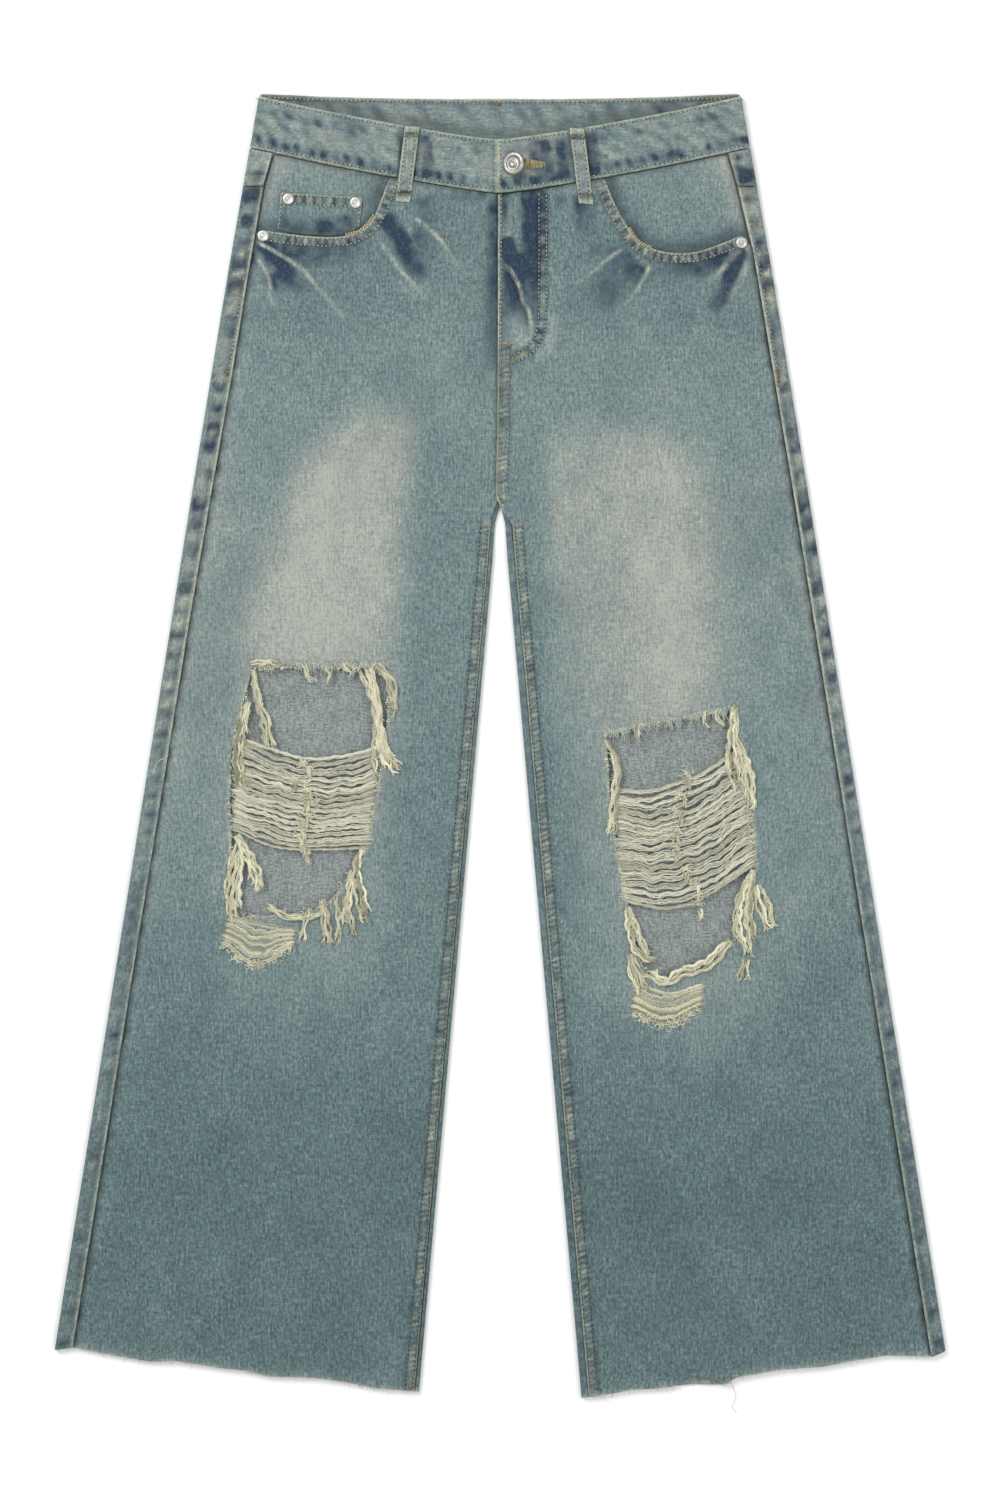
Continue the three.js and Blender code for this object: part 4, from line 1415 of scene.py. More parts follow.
RIGHT_KNEE = Knee(
    side=Side.RIGHT,
    hole=(
        (-200, 63), (-217, -3), (-218, -44), (-216, -125), (-210, -138), (-160, -135), (-144, -130),
        (-134, -121.5), (-123, -104), (-110, -83), (-100, -36), (-94, 1), (-90, 37), (-91, 63),
    ),
    ladder_top=((-212, 8), (-181, -2.5), (-156, -9), (-128, -7), (-98, 0)),
    ladder_bottom=((-215, -68), (-190, -79.5), (-168, -84), (-140, -84), (-108, -83)),
    knots=((-160, -18), (-158, -46), (-160, -68), (-159, -84)),
    patch_top=((-217, -137), (-192, -143), (-168, -147)),
    patch_bottom=((-223, -160), (-198, -178), (-170, -163)),
    top_edge=((-200, 68), (-150, 67.5), (-92, 67)),
    tassels=(
        (((-200, 62), (-196, 38), (-190, 20), (-187, 0)), (3, 5, 9, 9), 34),
        (((-203, 36), (-207, 24), (-206, 12)), (5, 8, 6), 16),
        (((-208, 20), (-212, 0), (-212, -16), (-210, -32)), (6, 10, 9, 10), 38),
        (((-109, 62), (-101, 38), (-99, 22), (-97, 0), (-94, -27)), (12, 7, 6, 14, 17), 46),
        (((-95, -4), (-87, -14), (-81, -20)), (8, 11, 9), 26),
        (((-213, -72), (-205, -86), (-197, -102), (-195, -116)), (5, 8, 10, 8), 34),
        (((-211, -78), (-214, -100), (-216, -120), (-212, -140)), (7, 13, 14, 12), 76),
        (((-113, -83), (-116, -100), (-112, -124), (-107, -142)), (4, 6, 11, 10), 30),
        (((-120, -100), (-122, -120), (-126, -143)), (4, 6, 7), 16),
        (((-144, -124), (-141, -143), (-139, -160)), (5, 7, 8), 22),
        (((-133, -120), (-131, -140), (-131, -159)), (3, 3, 4), 9),
        (((-126, -121), (-122, -138), (-118, -154)), (4, 5, 7), 15),
        (((-155, -132), (-158, -144), (-160, -156)), (4, 5, 6), 14),
        (((-189, -128), (-176, -136), (-160, -138.5), (-143, -134)), (5, 6, 5, 5), 20),
        (((-202, 67), (-189, 68), (-176, 66)), (5, 6, 4), 14),
        (((-158, 67), (-156, 58), (-150, 53)), (4, 4, 3), 9),
        (((-140, 67), (-137, 58), (-138, 52)), (5, 4, 3), 9),
        (((-126, 68), (-120, 60), (-119, 55)), (6, 5, 4), 12),
        (((-100, 66), (-90, 55), (-86, 40), (-89, 24)), (6, 9, 9, 6), 30),
    ),
)

LEFT_KNEE = Knee(
    side=Side.LEFT,
    hole=(
        (86, 10.5), (188.5, 31), (199, -27), (206.5, -97), (195, -129), (193.5, -147), (183, -166),
        (167, -177.5), (134, -189), (120, -185.5), (112, -169), (104, -128), (91.5, -64), (87, -3),
    ),
    ladder_top=((93, -34), (121, -35), (145, -28), (165, -20), (196, 1)),
    ladder_bottom=((100, -126), (127, -132), (145, -131), (164, -124), (206, -97)),
    knots=((150.5, -24), (146, -60), (147, -84), (156, -108), (158, -127)),
    patch_top=((110, -190), (136, -199), (162, -192)),
    patch_bottom=((109, -216), (135, -226), (161, -213)),
    top_edge=((83.5, 11.5), (135, 22), (190, 33)),
    tassels=(
        (((84.5, 5), (95, -15), (93, -40), (91, -70)), (5, 6, 7, 8), 34),
        (((190, 32), (188.5, 10), (190, -12), (197, -40)), (5, 9, 21, 12), 64),
        (((193, 2), (201, -24), (203, -52)), (5, 10, 7), 24),
        (((103, -130), (108, -150), (115, -167), (124, -172)), (4, 12, 15, 6), 36),
        (((105, -168), (110, -184), (117, -199)), (8, 12, 12), 34),
        (((205, -100), (198, -120), (196, -144), (203, -172)), (4, 16, 22, 12), 62),
        (((208, -112), (213, -130), (219, -148)), (9, 14, 8), 26),
        (((199, -172), (197, -182), (194, -192)), (5, 7, 9), 16),
        (((186, -157), (169, -176), (146, -184), (134, -191), (117, -182)), (6, 10, 9, 6, 7), 46),
        (((178, 31), (176, 22), (181, 17)), (5, 6, 4), 12),
        (((166, 29), (164, 21), (167, 17)), (4, 4, 3), 9),
        (((112, 17), (111, 9), (113, 5)), (4, 4, 3), 8),
    ),
)


@dataclass
class Front:
    """One front leg panel, with its scoop pocket cut away and its knee torn open."""

    side: Side
    knee: Knee

    def outline(self) -> Array:
        """The whole edge as one loop, from the hem up the inseam and round."""
        side, sign = self.side, self.side.value
        ys = np.array([-Pattern.WAIST_Y, 150.0, 179.0])
        legs = np.column_stack([sign * (Pattern.inseam_x(ys) + Pattern.INSEAM_INSET[side] + 0.3), ys])
        legs[0, 1] = Pattern.hem_y(legs[0, 0])
        if side is Side.RIGHT:
            top_x = Pattern.LAP_X
            centre = [(-5, 190), (1, 206), (top_x, 230)]
        else:
            top_x = Pattern.EDGE_X
            centre = [(2, 190), (-3, 200), (-3.5, 215), (top_x - 0.5, 260)]
        centre.append((top_x, Pattern.under_band(top_x)))
        scoop = Path(Pattern.SCOOP[side]).laid(2.0)
        on_leg = np.abs(scoop[:, 0]) < Pattern.seam_x(side, scoop[:, 1]) - 0.3
        scoop = scoop[(scoop[:, 1] < Pattern.under_band(scoop[:, 0])) & on_leg]
        across = np.arange(top_x + sign * 4, scoop[0, 0] - sign * 2, sign * 4.0)
        low_x = sign * (float(Pattern.seam_x(side, -490)) - 0.3)
        ys = np.linspace(scoop[-1, 1] - 1, float(Pattern.hem_y(low_x)), 60)
        seam = np.column_stack([sign * (Pattern.seam_x(side, ys) - 0.3), ys])
        hem_x = np.arange(seam[-1, 0] - sign * 4, legs[0, 0] + sign * 2, -sign * 4.0)
        cut = 6.0 * near(np.abs(hem_x - 160), 6, 24)
        return np.vstack([
            legs, centre, np.column_stack([across, Pattern.under_band(across)]), scoop, seam,
            np.column_stack([hem_x, Pattern.hem_y(hem_x) + cut]),
        ])

    def detail(self, traces: Sequence[Trace]) -> list[Path]:
        """Lines along which the mesh is finer: the whiskers and the felled seams."""
        sharp = [trace.path for trace in traces if trace.layer is B and trace.fall]
        lines = [path.beside(k) for path in sharp for k in (-2.2, -1.1, 0.0, 1.1, 2.2)]
        seam = inseam(self.side, 5.2, (-520.0, 150.0, 180.0))
        lines += [seam.beside(k) for k in (-3.3, -1.1, 1.1, 3.3)]
        if self.side is Side.LEFT:
            lines += [Path(FLY_EDGE[2:7]).beside(k) for k in (1.6, 3.0, 4.4, 5.8, 7.2, 8.6, 10.0)]
            lines += [Path(FLY_J).beside(k) for k in (-4.0, -3.0, -1.5, 0.0, 1.5, 3.0, 4.0)]
        return lines

    def build(self, garment: Garment) -> None:
        """Build the panel."""
        word = self.side.word
        hole = ring(self.knee.hole)
        traces = [*front_traces(self.side), *seam_traces(self.side), Trace(B, hole, 0.4, 4.0, 0.5, rough=1.0)]
        panel = Panel(
            self.outline(),
            lambda x, y: Pattern.front_top(x, y, self.side) + traced(traces, R, x, y),
            lambda x, y: washed_and_shaded(traces, x, y, FADES[self.side]),
            holes=[ragged(hole, garment.rng)],
            step=lambda y: 1.9 if y > 335 else 3.3 if y > -230 else 5.0,
            detail=self.detail(traces),
        )
        torn = loop_area(np.array(self.knee.hole))
        names = (f"front_panel_{word}", f"front_{word}")
        panel.build(names, garment.finishes.cloth, f"back_panel_{word}", torn=torn)


def seam_line(side: Side, offset: float, ys: Sequence[float] | Array) -> Path:
    """The line beside the side seam, offset outwards."""
    return drawn(side.value * (Pattern.seam_x(side, ys) + offset), ys)


def inseam(side: Side, offset: float, ys: Sequence[float] | Array) -> Path:
    """The line beside the front's inseam edge, offset outwards."""
    return drawn(side.value * (Pattern.inseam_x(ys) + Pattern.INSEAM_INSET[side] + offset), ys)


def hem_line(side: Side) -> Path:
    """The raw hem of one leg."""
    xs = side.value * np.linspace(66, 350, 60)
    return drawn(xs, Pattern.hem_y(xs))


def yoke_line(side: Side, offset: float, *xs: float) -> Path:
    """The line above the back's yoke seam."""
    return drawn(side.value * np.array(xs), Pattern.YOKE_Y + Pattern.YOKE_SLOPE * np.array(xs) + offset)


def ragged(loop: Path, rng: np.random.Generator) -> Array:
    """Give a torn edge: the loop with small uneven steps."""
    line = loop.laid(2.2)[:-1]
    middle = line.mean(axis=0)
    out = line - middle
    out /= np.hypot(out[:, 0], out[:, 1])[:, None]
    rough = rng.normal(0, 0.5, len(line))
    rough = 0.5 * rough + 0.5 * np.roll(rough, 1)
    return line + out * rough[:, None]


def loop_area(loop: Array) -> float:
    """The area inside a loop."""
    return abs(float(np.cross(loop, np.roll(loop, -1, axis=0)).sum())) / 2


FADES = {
    Side.RIGHT: (
        Bleach((
            (-230, 110, 150, 215, 260, 0.0), (-180, 90, 130, 235, 290, 0.05),
            (-120, 80, 120, 250, 320, 0.1), (0, 70, 100, 250, 330, 0.17),
            (90, 62, 110, 230, 290, 0.18), (180, 60, 110, 225, 280, 0.12), (230, 60, 100, 210, 250, 0.07),
            (290, 60, 110, 190, 230, 0.0),
        )),
        Bleach((
            (-280, 70, 120, 200, 250, 0.0), (-190, 66, 120, 200, 250, 0.08), (-60, 62, 120, 190, 250, 0.16),
            (40, 62, 120, 168, 232, 0.3), (102, 60, 112, 166, 232, 0.38), (142, 58, 106, 160, 212, 0.43),
            (183, 56, 102, 150, 196, 0.42), (223, 54, 88, 138, 180, 0.4), (258, 54, 84, 112, 152, 0.3),
            (285, 60, 90, 100, 140, 0.0),
        )),
    ),
    Side.LEFT: (
        Bleach((
            (-290, 120, 160, 200, 260, 0.0), (-250, 100, 130, 200, 250, 0.05),
            (-195, 90, 120, 210, 260, 0.14), (-120, 60, 110, 235, 310, 0.12),
            (0, 60, 100, 260, 330, 0.13), (150, 50, 100, 250, 310, 0.1),
            (260, 60, 110, 190, 240, 0.03), (300, 60, 110, 190, 230, 0.0),
        )),
        Bleach((
            (-290, 40, 80, 160, 220, 0.0), (-190, 40, 80, 160, 220, 0.16), (-120, 40, 80, 160, 220, 0.16),
            (10, 30, 62, 150, 205, 0.2), (60, 28, 60, 152, 212, 0.27), (140, 26, 52, 148, 208, 0.3),
            (223, 24, 50, 138, 200, 0.31), (246, 26, 48, 120, 175, 0.27), (272, 34, 56, 80, 130, 0.0),
        )),
        Bleach((
            (-150, 104, 124, 138, 176, 0.0), (10, 104, 124, 138, 176, 0.06), (60, 100, 124, 140, 180, 0.17),
            (160, 92, 116, 140, 178, 0.12), (240, 84, 104, 116, 160, 0.04), (260, 84, 104, 116, 160, 0.0),
        )),
    ),
}


def front_traces(side: Side) -> list[Trace]:
    """The whiskers, leftover indigo and creases of one front, and painted shade along the fly."""
    if side is Side.RIGHT:
        whiskers = (
            (((-196, 408), (-162, 387), (-146, 369), (-134, 355), (-122, 341)), 0.5, 3.0, 0.62),
            (((-196, 395), (-188, 381), (-185.5, 371), (-185.5, 361), (-180, 352)), 0.3, 2.4, 0.6),
            (((-69, 428), (-49, 410), (-39, 395), (-30, 385), (-24, 378)), 0.4, 2.7, 0.6),
            (((-98, 409), (-87.5, 394), (-78, 381.5), (-70.5, 374), (-58, 360)), 0.4, 2.8, 0.62),
            (((-75, 420), (-67, 402)), 0.3, 2.0, 0.3),
            (((-124, 348), (-108, 330)), 0.3, 2.4, 0.12),
            (((-200, 345), (-186, 325), (-178, 310)), 0.3, 2.6, 0.14),
        )
        stains = (
            (((-194, 410), (-178, 390), (-158, 364)), 0.5, 11.0, 1.5),
            (((-186, 384), (-172, 364)), 1.0, 13.0, 0.7),
            (((-178, 402), (-140, 398), (-102, 404)), 0.5, 16.0, 0.8),
            (((-94, 430), (-76, 402), (-60, 374)), 1.5, 11.5, 1.6),
            (((-84, 410), (-70, 388)), 0.5, 5.0, 0.6),
            (((-72, 416), (-50, 394)), 0.5, 11.0, 0.8),
            (((-62, 446), (-56, 420)), 1.0, 15.0, 0.5),
            (((-199, 402), (-203, 365)), 0.5, 6.0, 0.6),
            (((-3, 446), (-4, 380), (-6, 300)), 0.5, 11.0, 1.0),
            (((-10, 444), (-60, 447)), 0.5, 7.0, 0.5),
        )
        # Painted shadow on the right front along the fly, where the left front laps over it.
        edges = Trace(S, Path(((-2, 446), (-2, 330), (-3, 210))), 0.5, 3.0, 0.5)
    else:
        whiskers = (
            (((99, 402), (85, 392), (73, 381.5), (58, 371)), 0.4, 2.7, 0.46),
            (((122, 390), (117.5, 380), (111, 369), (105, 361), (92, 348)), 0.4, 2.7, 0.6),
            (((195, 403), (184, 391), (176, 381.5), (166, 374)), 0.9, 4.2, 0.62),
            (((203, 407), (198.5, 387), (193, 373), (185, 361)), 1.0, 4.4, 0.62),
            (((40, 388), (46, 376), (49, 368)), 0.3, 2.2, 0.3),
            (((66, 352), (52, 336)), 0.3, 2.4, 0.1),
        )
        stains = (
            (((112, 394), (94, 378), (76, 352)), 2.0, 24.0, 0.8),
            (((188, 396), (150, 388), (120, 392)), 0.5, 17.0, 1.0),
            (((198, 403), (187, 382), (181, 366), (170, 350)), 1.0, 9.5, 1.6),
            (((70, 402), (98, 403)), 0.5, 8.0, 0.4),
            (((66, 448), (68, 430), (70, 408)), 1.0, 14.0, 0.9),
            (((50, 448), (48, 430)), 1.0, 9.0, 0.5),
            (((25, 452), (27, 420), (25, 380), (21, 336)), 4.0, 12.0, 1.8),
            (((3, 412), (9, 390), (9, 365), (5, 342)), 2.5, 9.5, 1.8),
            (((4, 450), (6, 414)), 0.8, 6.5, 1.0),
            (((34, 450), (34, 396)), 1.5, 8.0, 0.9),
            (((16, 400), (14, 372), (12, 350)), 2.0, 8.0, 0.9),
        )
        # A faint painted shade along the left front's lapped edge below the fly.
        edges = Trace(S, Path(((1, 340), (-1, 210))), 0.2, 1.0, 0.2)
    traces = [
        *(Trace(B, Path(points), core, 0.75 * reach, 1.2 * amount, 3, fall=0.6, rough=0.8)
          for points, core, reach, amount in whiskers),
        *(Trace(F, Path(points), core, 4.5 * reach, 0.22 * amount, 12)
          for points, core, reach, amount in whiskers),
        *(Trace(N, Path(points).beside(k * 1.5 * reach), 0.3, 1.5 * reach, 0.55 * amount, 6, fall=0.8)
          for points, core, reach, amount in whiskers for k in (-1, 1)),
        *(Trace(R, Path(points), core, 2.0 * reach, 1.5 * amount, 10)
          for points, core, reach, amount in whiskers),
        *strokes(N, *stains, fall=0.6, taper=4, rough=0.45),
        *(Trace(R, Path(points), core, reach, -0.45 * amount, 6) for points, core, reach, amount in stains),
        edges,
    ]
    return traces + (fly_traces() if side is Side.LEFT else [])


def fly_traces() -> list[Trace]:
    """The wear and painted shade round the fly, the J of its stitching and the crotch seam."""
    edge = Path(FLY_EDGE)
    crease = Path(((3, 390), (10, 383), (16.5, 369), (18.5, 359), (23, 353), (25.5, 337), (24.5, 329)))
    rows = Path(FLY_J)
    # Each S trace is painted shade: beside the fly's edge, in the hollow beside the crease, and along the J's
    # rows.
    return [
        Trace(B, edge, 0.4, 2.0, 0.85),
        Trace(S, edge.beside(3.4), 0.6, 2.4, 0.4, 0, 5.0),
        Trace(B, crease, 0.4, 2.2, 0.6, 4, rough=0.8),
        Trace(R, crease, 0.5, 3.5, 0.6, 6),
        Trace(S, crease.beside(-3.0), 0.4, 2.6, 0.4, 6),
        Trace(B, Path(((7.5, 440), (7, 410))), 0.3, 2.4, 0.3, 5),
        Trace(B, rows, 1.0, 4.0, 0.35, 4, 11.0),
        Trace(N, rows, 2.0, 5.5, 0.9, 8, 9.0, 2.0),
        *crotch_traces(),
        Trace(F, Path(((14, 356), (17, 338), (15, 318))), 4, 16, 0.26, 8),
        *(Trace(S, rows.beside(k), 0.2, 1.8, 0.5, 3) for k in (3.0, -3.0)),
        Trace(F, Path(((43, 352), (41, 328), (30, 311))), 1, 8, 0.3, 6),
        Trace(R, rows, 1.5, 4.0, -0.3, 4),
        Trace(R, Path(((10, 436), (11, 400))), 1.0, 5.0, 0.6, 8),
        Trace(R, Path(((20, 436), (18, 404))), 1.0, 5.0, -0.6, 8),
    ]


def crotch_traces() -> list[Trace]:
    """The felled seam that runs down from the fly: a raised, puckered band."""
    column = Path(FLY_EDGE[3:7]).beside(5.4)
    return felled_band(column, 4.4, 1.0)


def felled_band(middle: Path, half: float, amount: float) -> list[Trace]:
    """The puckers between the two rows of a felled seam, with painted shade in their hollows and along both
    rows.
    """
    return [
        Trace(R, middle, half - 0.6, half + 1.4, 0.45 * amount),
        # Painted shade in the hollows between the puckers.
        Trace(S, middle, half - 1.4, half + 0.4, 0.5 * amount, 0, 4.3, slant=0.3, rough=0.6),
        Trace(B, middle, half - 1.4, half + 0.4, 0.75 * amount, 0, 4.7, 3.4, slant=0.3, rough=0.6),
        Trace(N, middle, half - 1.0, half + 1.0, 0.5 * amount, 0, 23.0, 1.7, rough=0.9),
        # Painted shade along both rows.
        *(Trace(S, middle.beside(k * half), 0.4, 1.7, 0.3 * amount) for k in (-1, 1)),
    ]


FLY_EDGE = (
    (-1.5, 447), (-1.5, 400), (-1.6, 360), (-1.8, 324), (-2.0, 260), (-3.3, 222), (-3.0, 204), (2.0, 190),
)
FLY_J = ((34.5, 447), (34.5, 400), (34.0, 345), (31.5, 331), (26.0, 322), (17.0, 315.5), (9.5, 313))


WORN = {
    Side.RIGHT: ((-125, 413), (-112, 417.5), (-101, 430)),
    Side.LEFT: ((104, 419), (112, 408), (124, 402)),
}


def seam_traces(side: Side) -> list[Trace]:
    """The wear along the seams, pocket edge and hem of one front, with painted shade beside the side seam,
    under the pocket's turned hem and under the waistband.
    """
    sign = side.value
    seam = seam_line(side, -0.3, np.linspace(-490, 412, 46))
    inner = inseam(side, 0.3, (-524.0, 150.0, 180.0))
    scoop = Path(Pattern.SCOOP[side])
    hemmed = scoop.beside(4.4 * -sign)
    xs = np.arange(2.0, 92.0, 4.0)
    band = drawn(sign * xs, Pattern.band_bottom(xs) - 1)
    hem = hem_line(side)
    return [
        # Painted shadow where the back's strip laps over the side seam.
        Trace(S, seam, 0.6, 3.2, 0.8),
        Trace(F, seam, 4.0, 14.0, 0.1),
        Trace(N, seam, 2.0, 8.0, 0.4, 0, 21.0, 1.0),
        Trace(R, seam, 2.0, 9.0, -0.5, 0, 21.0, 1.0),
        Trace(B, inner, 0.6, 2.2, 0.8),
        *felled_band(inner.beside(-sign * 4.9), 3.6, 0.9),
        Trace(B, scoop, 0.4, 2.1, 0.85),
        Trace(B, Path(WORN[side]), 0.6, 3.4, 0.5, 5),
        Trace(R, hemmed, 3.6, 6.2, 0.55),
        Trace(N, hemmed, 2.0, 4.2, 1.3, 3, 6.6, 0.0, rough=0.7),
        Trace(B, hemmed, 1.6, 4.0, 0.7, 3, 6.2, 3.5, rough=0.7),
        # Painted shade under and beside the pocket's turned hem.
        Trace(S, hemmed, 2.4, 4.4, 0.22),
        Trace(R, hemmed, 2.0, 4.4, 0.3, 3, 5.6, 3.1),
        Trace(S, hemmed.beside(4.4 * -sign), 0.4, 2.6, 0.3),
        # Painted shadow under the waistband's lower edge.
        Trace(S, band, 0.6, 4.2, 0.5),
        Trace(R, band, 1.0, 8.0, 0.45, 0, 12.0),
        Trace(B, band, 2.0, 8.0, 0.25, 0, 12.0),
        Trace(B, hem, 0.3, 2.2, 0.6),
        Trace(F, hem, 2.0, 12.0, 0.12),
    ]


@dataclass
class Facing:
    """The denim that shows inside a scoop pocket."""

    side: Side
    depth: float

    def outline(self) -> Array:
        """Its edge as one loop."""
        sign = self.side.value
        ys = np.linspace(self.depth, 478, 24)
        outer = np.column_stack([sign * (Pattern.seam_x(self.side, ys) - 1.0), ys])
        outer = outer[ys < Pattern.under_band(outer[:, 0])]
        xs = sign * np.arange(abs(outer[-1, 0]) - 4, 78, -4.0)
        top = np.column_stack([xs, Pattern.under_band(xs)])
        return np.vstack([outer, top, [(sign * 76.0, self.depth)]])

    def build(self, garment: Garment) -> None:
        """Build the facing."""
        sign, word = self.side.value, self.side.word
        scoop = Path(Pattern.SCOOP[self.side])
        seam = seam_line(self.side, -1.0, (405.0, 430.0, 474.0))
        xs = np.arange(80.0, 205.0, 5.0)
        band = drawn(sign * xs, Pattern.band_bottom(xs) - 1)
        # The S traces are painted shade: under the scoop's edge, beside the side seam and under the
        # waistband.
        traces = [
            Trace(S, scoop, 2.0, 12.0, 0.35),
            Trace(N, scoop, 2.0, 20.0, 0.35),
            Trace(S, seam, 0.8, 4.5, 0.35),
            Trace(F, seam, 4.0, 16.0, 0.22),
            Trace(S, band, 0.6, 4.0, 0.45),
            Trace(B, band, 2.0, 7.0, 0.2, 0, 12.0),
            Trace(R, band, 1.0, 9.0, 0.4, 0, 13.0),
            Trace(R, Path(((sign * 110, 440), (sign * 150, 428), (sign * 190, 432))), 4, 22, -0.3, 12),
        ]
        panel = Panel(
            self.outline(),
            lambda x, y: Pattern.front_under(x, y) - CLEAR + 0.4 * traced(traces, R, x, y),
            lambda x, y: washed_and_shaded(traces, x, y) + (0.05, 0, 0, 0),
            thickness=0.9,
        )
        names = (f"pocket_inner_{word}", f"pocket_facing_{word}")
        panel.build(names, garment.finishes.cloth, f"back_panel_{word}")


@dataclass
class CoinPocket:
    """The small pocket on the right facing."""

    corners: tuple[Point, ...] = (
        (-177.4, 447.6), (-180.2, 418.0), (-170, 415.2), (-157, 413.4), (-136, 412.5),
        (-121, 414.6), (-113.5, 419.2), (-111.2, 443.9),
    )

    def build(self, garment: Garment) -> None:
        """Build the pocket and sew it."""
        top_edge = Path((self.corners[0], self.corners[-1]), True)
        hem = top_edge.beside(-4.6)
        left = Path((self.corners[0], self.corners[1]), True)
        right = Path((self.corners[-1], self.corners[-2]), True)
        below = Path(((-178, 424), (-150, 420), (-116, 425)))
        # The S traces are painted shade, under the pocket's turned top and along its bottom.
        traces = [
            Trace(B, top_edge, 0.4, 1.8, 0.6),
            Trace(B, left, 0.4, 2.0, 0.5),
            Trace(B, right, 0.4, 2.0, 0.4),
            Trace(N, hem, 2.6, 4.6, 1.3, 0, 8.0, 0.0),
            Trace(B, hem, 1.8, 4.2, 0.7, 0, 8.0, 3.5),
            Trace(S, hem, 3.0, 4.6, 0.25),
            Trace(R, hem, 3.8, 5.6, 0.45),
            Trace(R, hem, 2.2, 4.4, 0.25, 0, 8.0, 3.1),
            Trace(N, below, 2.0, 12.0, 0.35, rough=0.9),
            Trace(N, Path(((-140, 419), (-124, 422))), 2.0, 10.0, 0.5, rough=0.9),
            Trace(S, below.beside(-6), 1.0, 7.0, 0.25),
        ]

        def top(x: Array, y: Array) -> Array:
            """Height of the patch's outer face."""
            return Pattern.front_under(x, y) - 0.1 + DENIM + traced(traces, R, x, y)

        panel = Panel(np.array(self.corners), top, lambda x, y: washed_and_shaded(traces, x, y), step=lambda y: 2.0)
        panel.build(("coin_pocket_patch", "coin_pocket"), garment.finishes.cloth, "pocket_inner_right")
        for edge, offset in ((top_edge, -1.5), (top_edge, -8.2), (left, 1.6), (right, -1.6)):
            garment.sewing.row(edge.beside(offset), top)


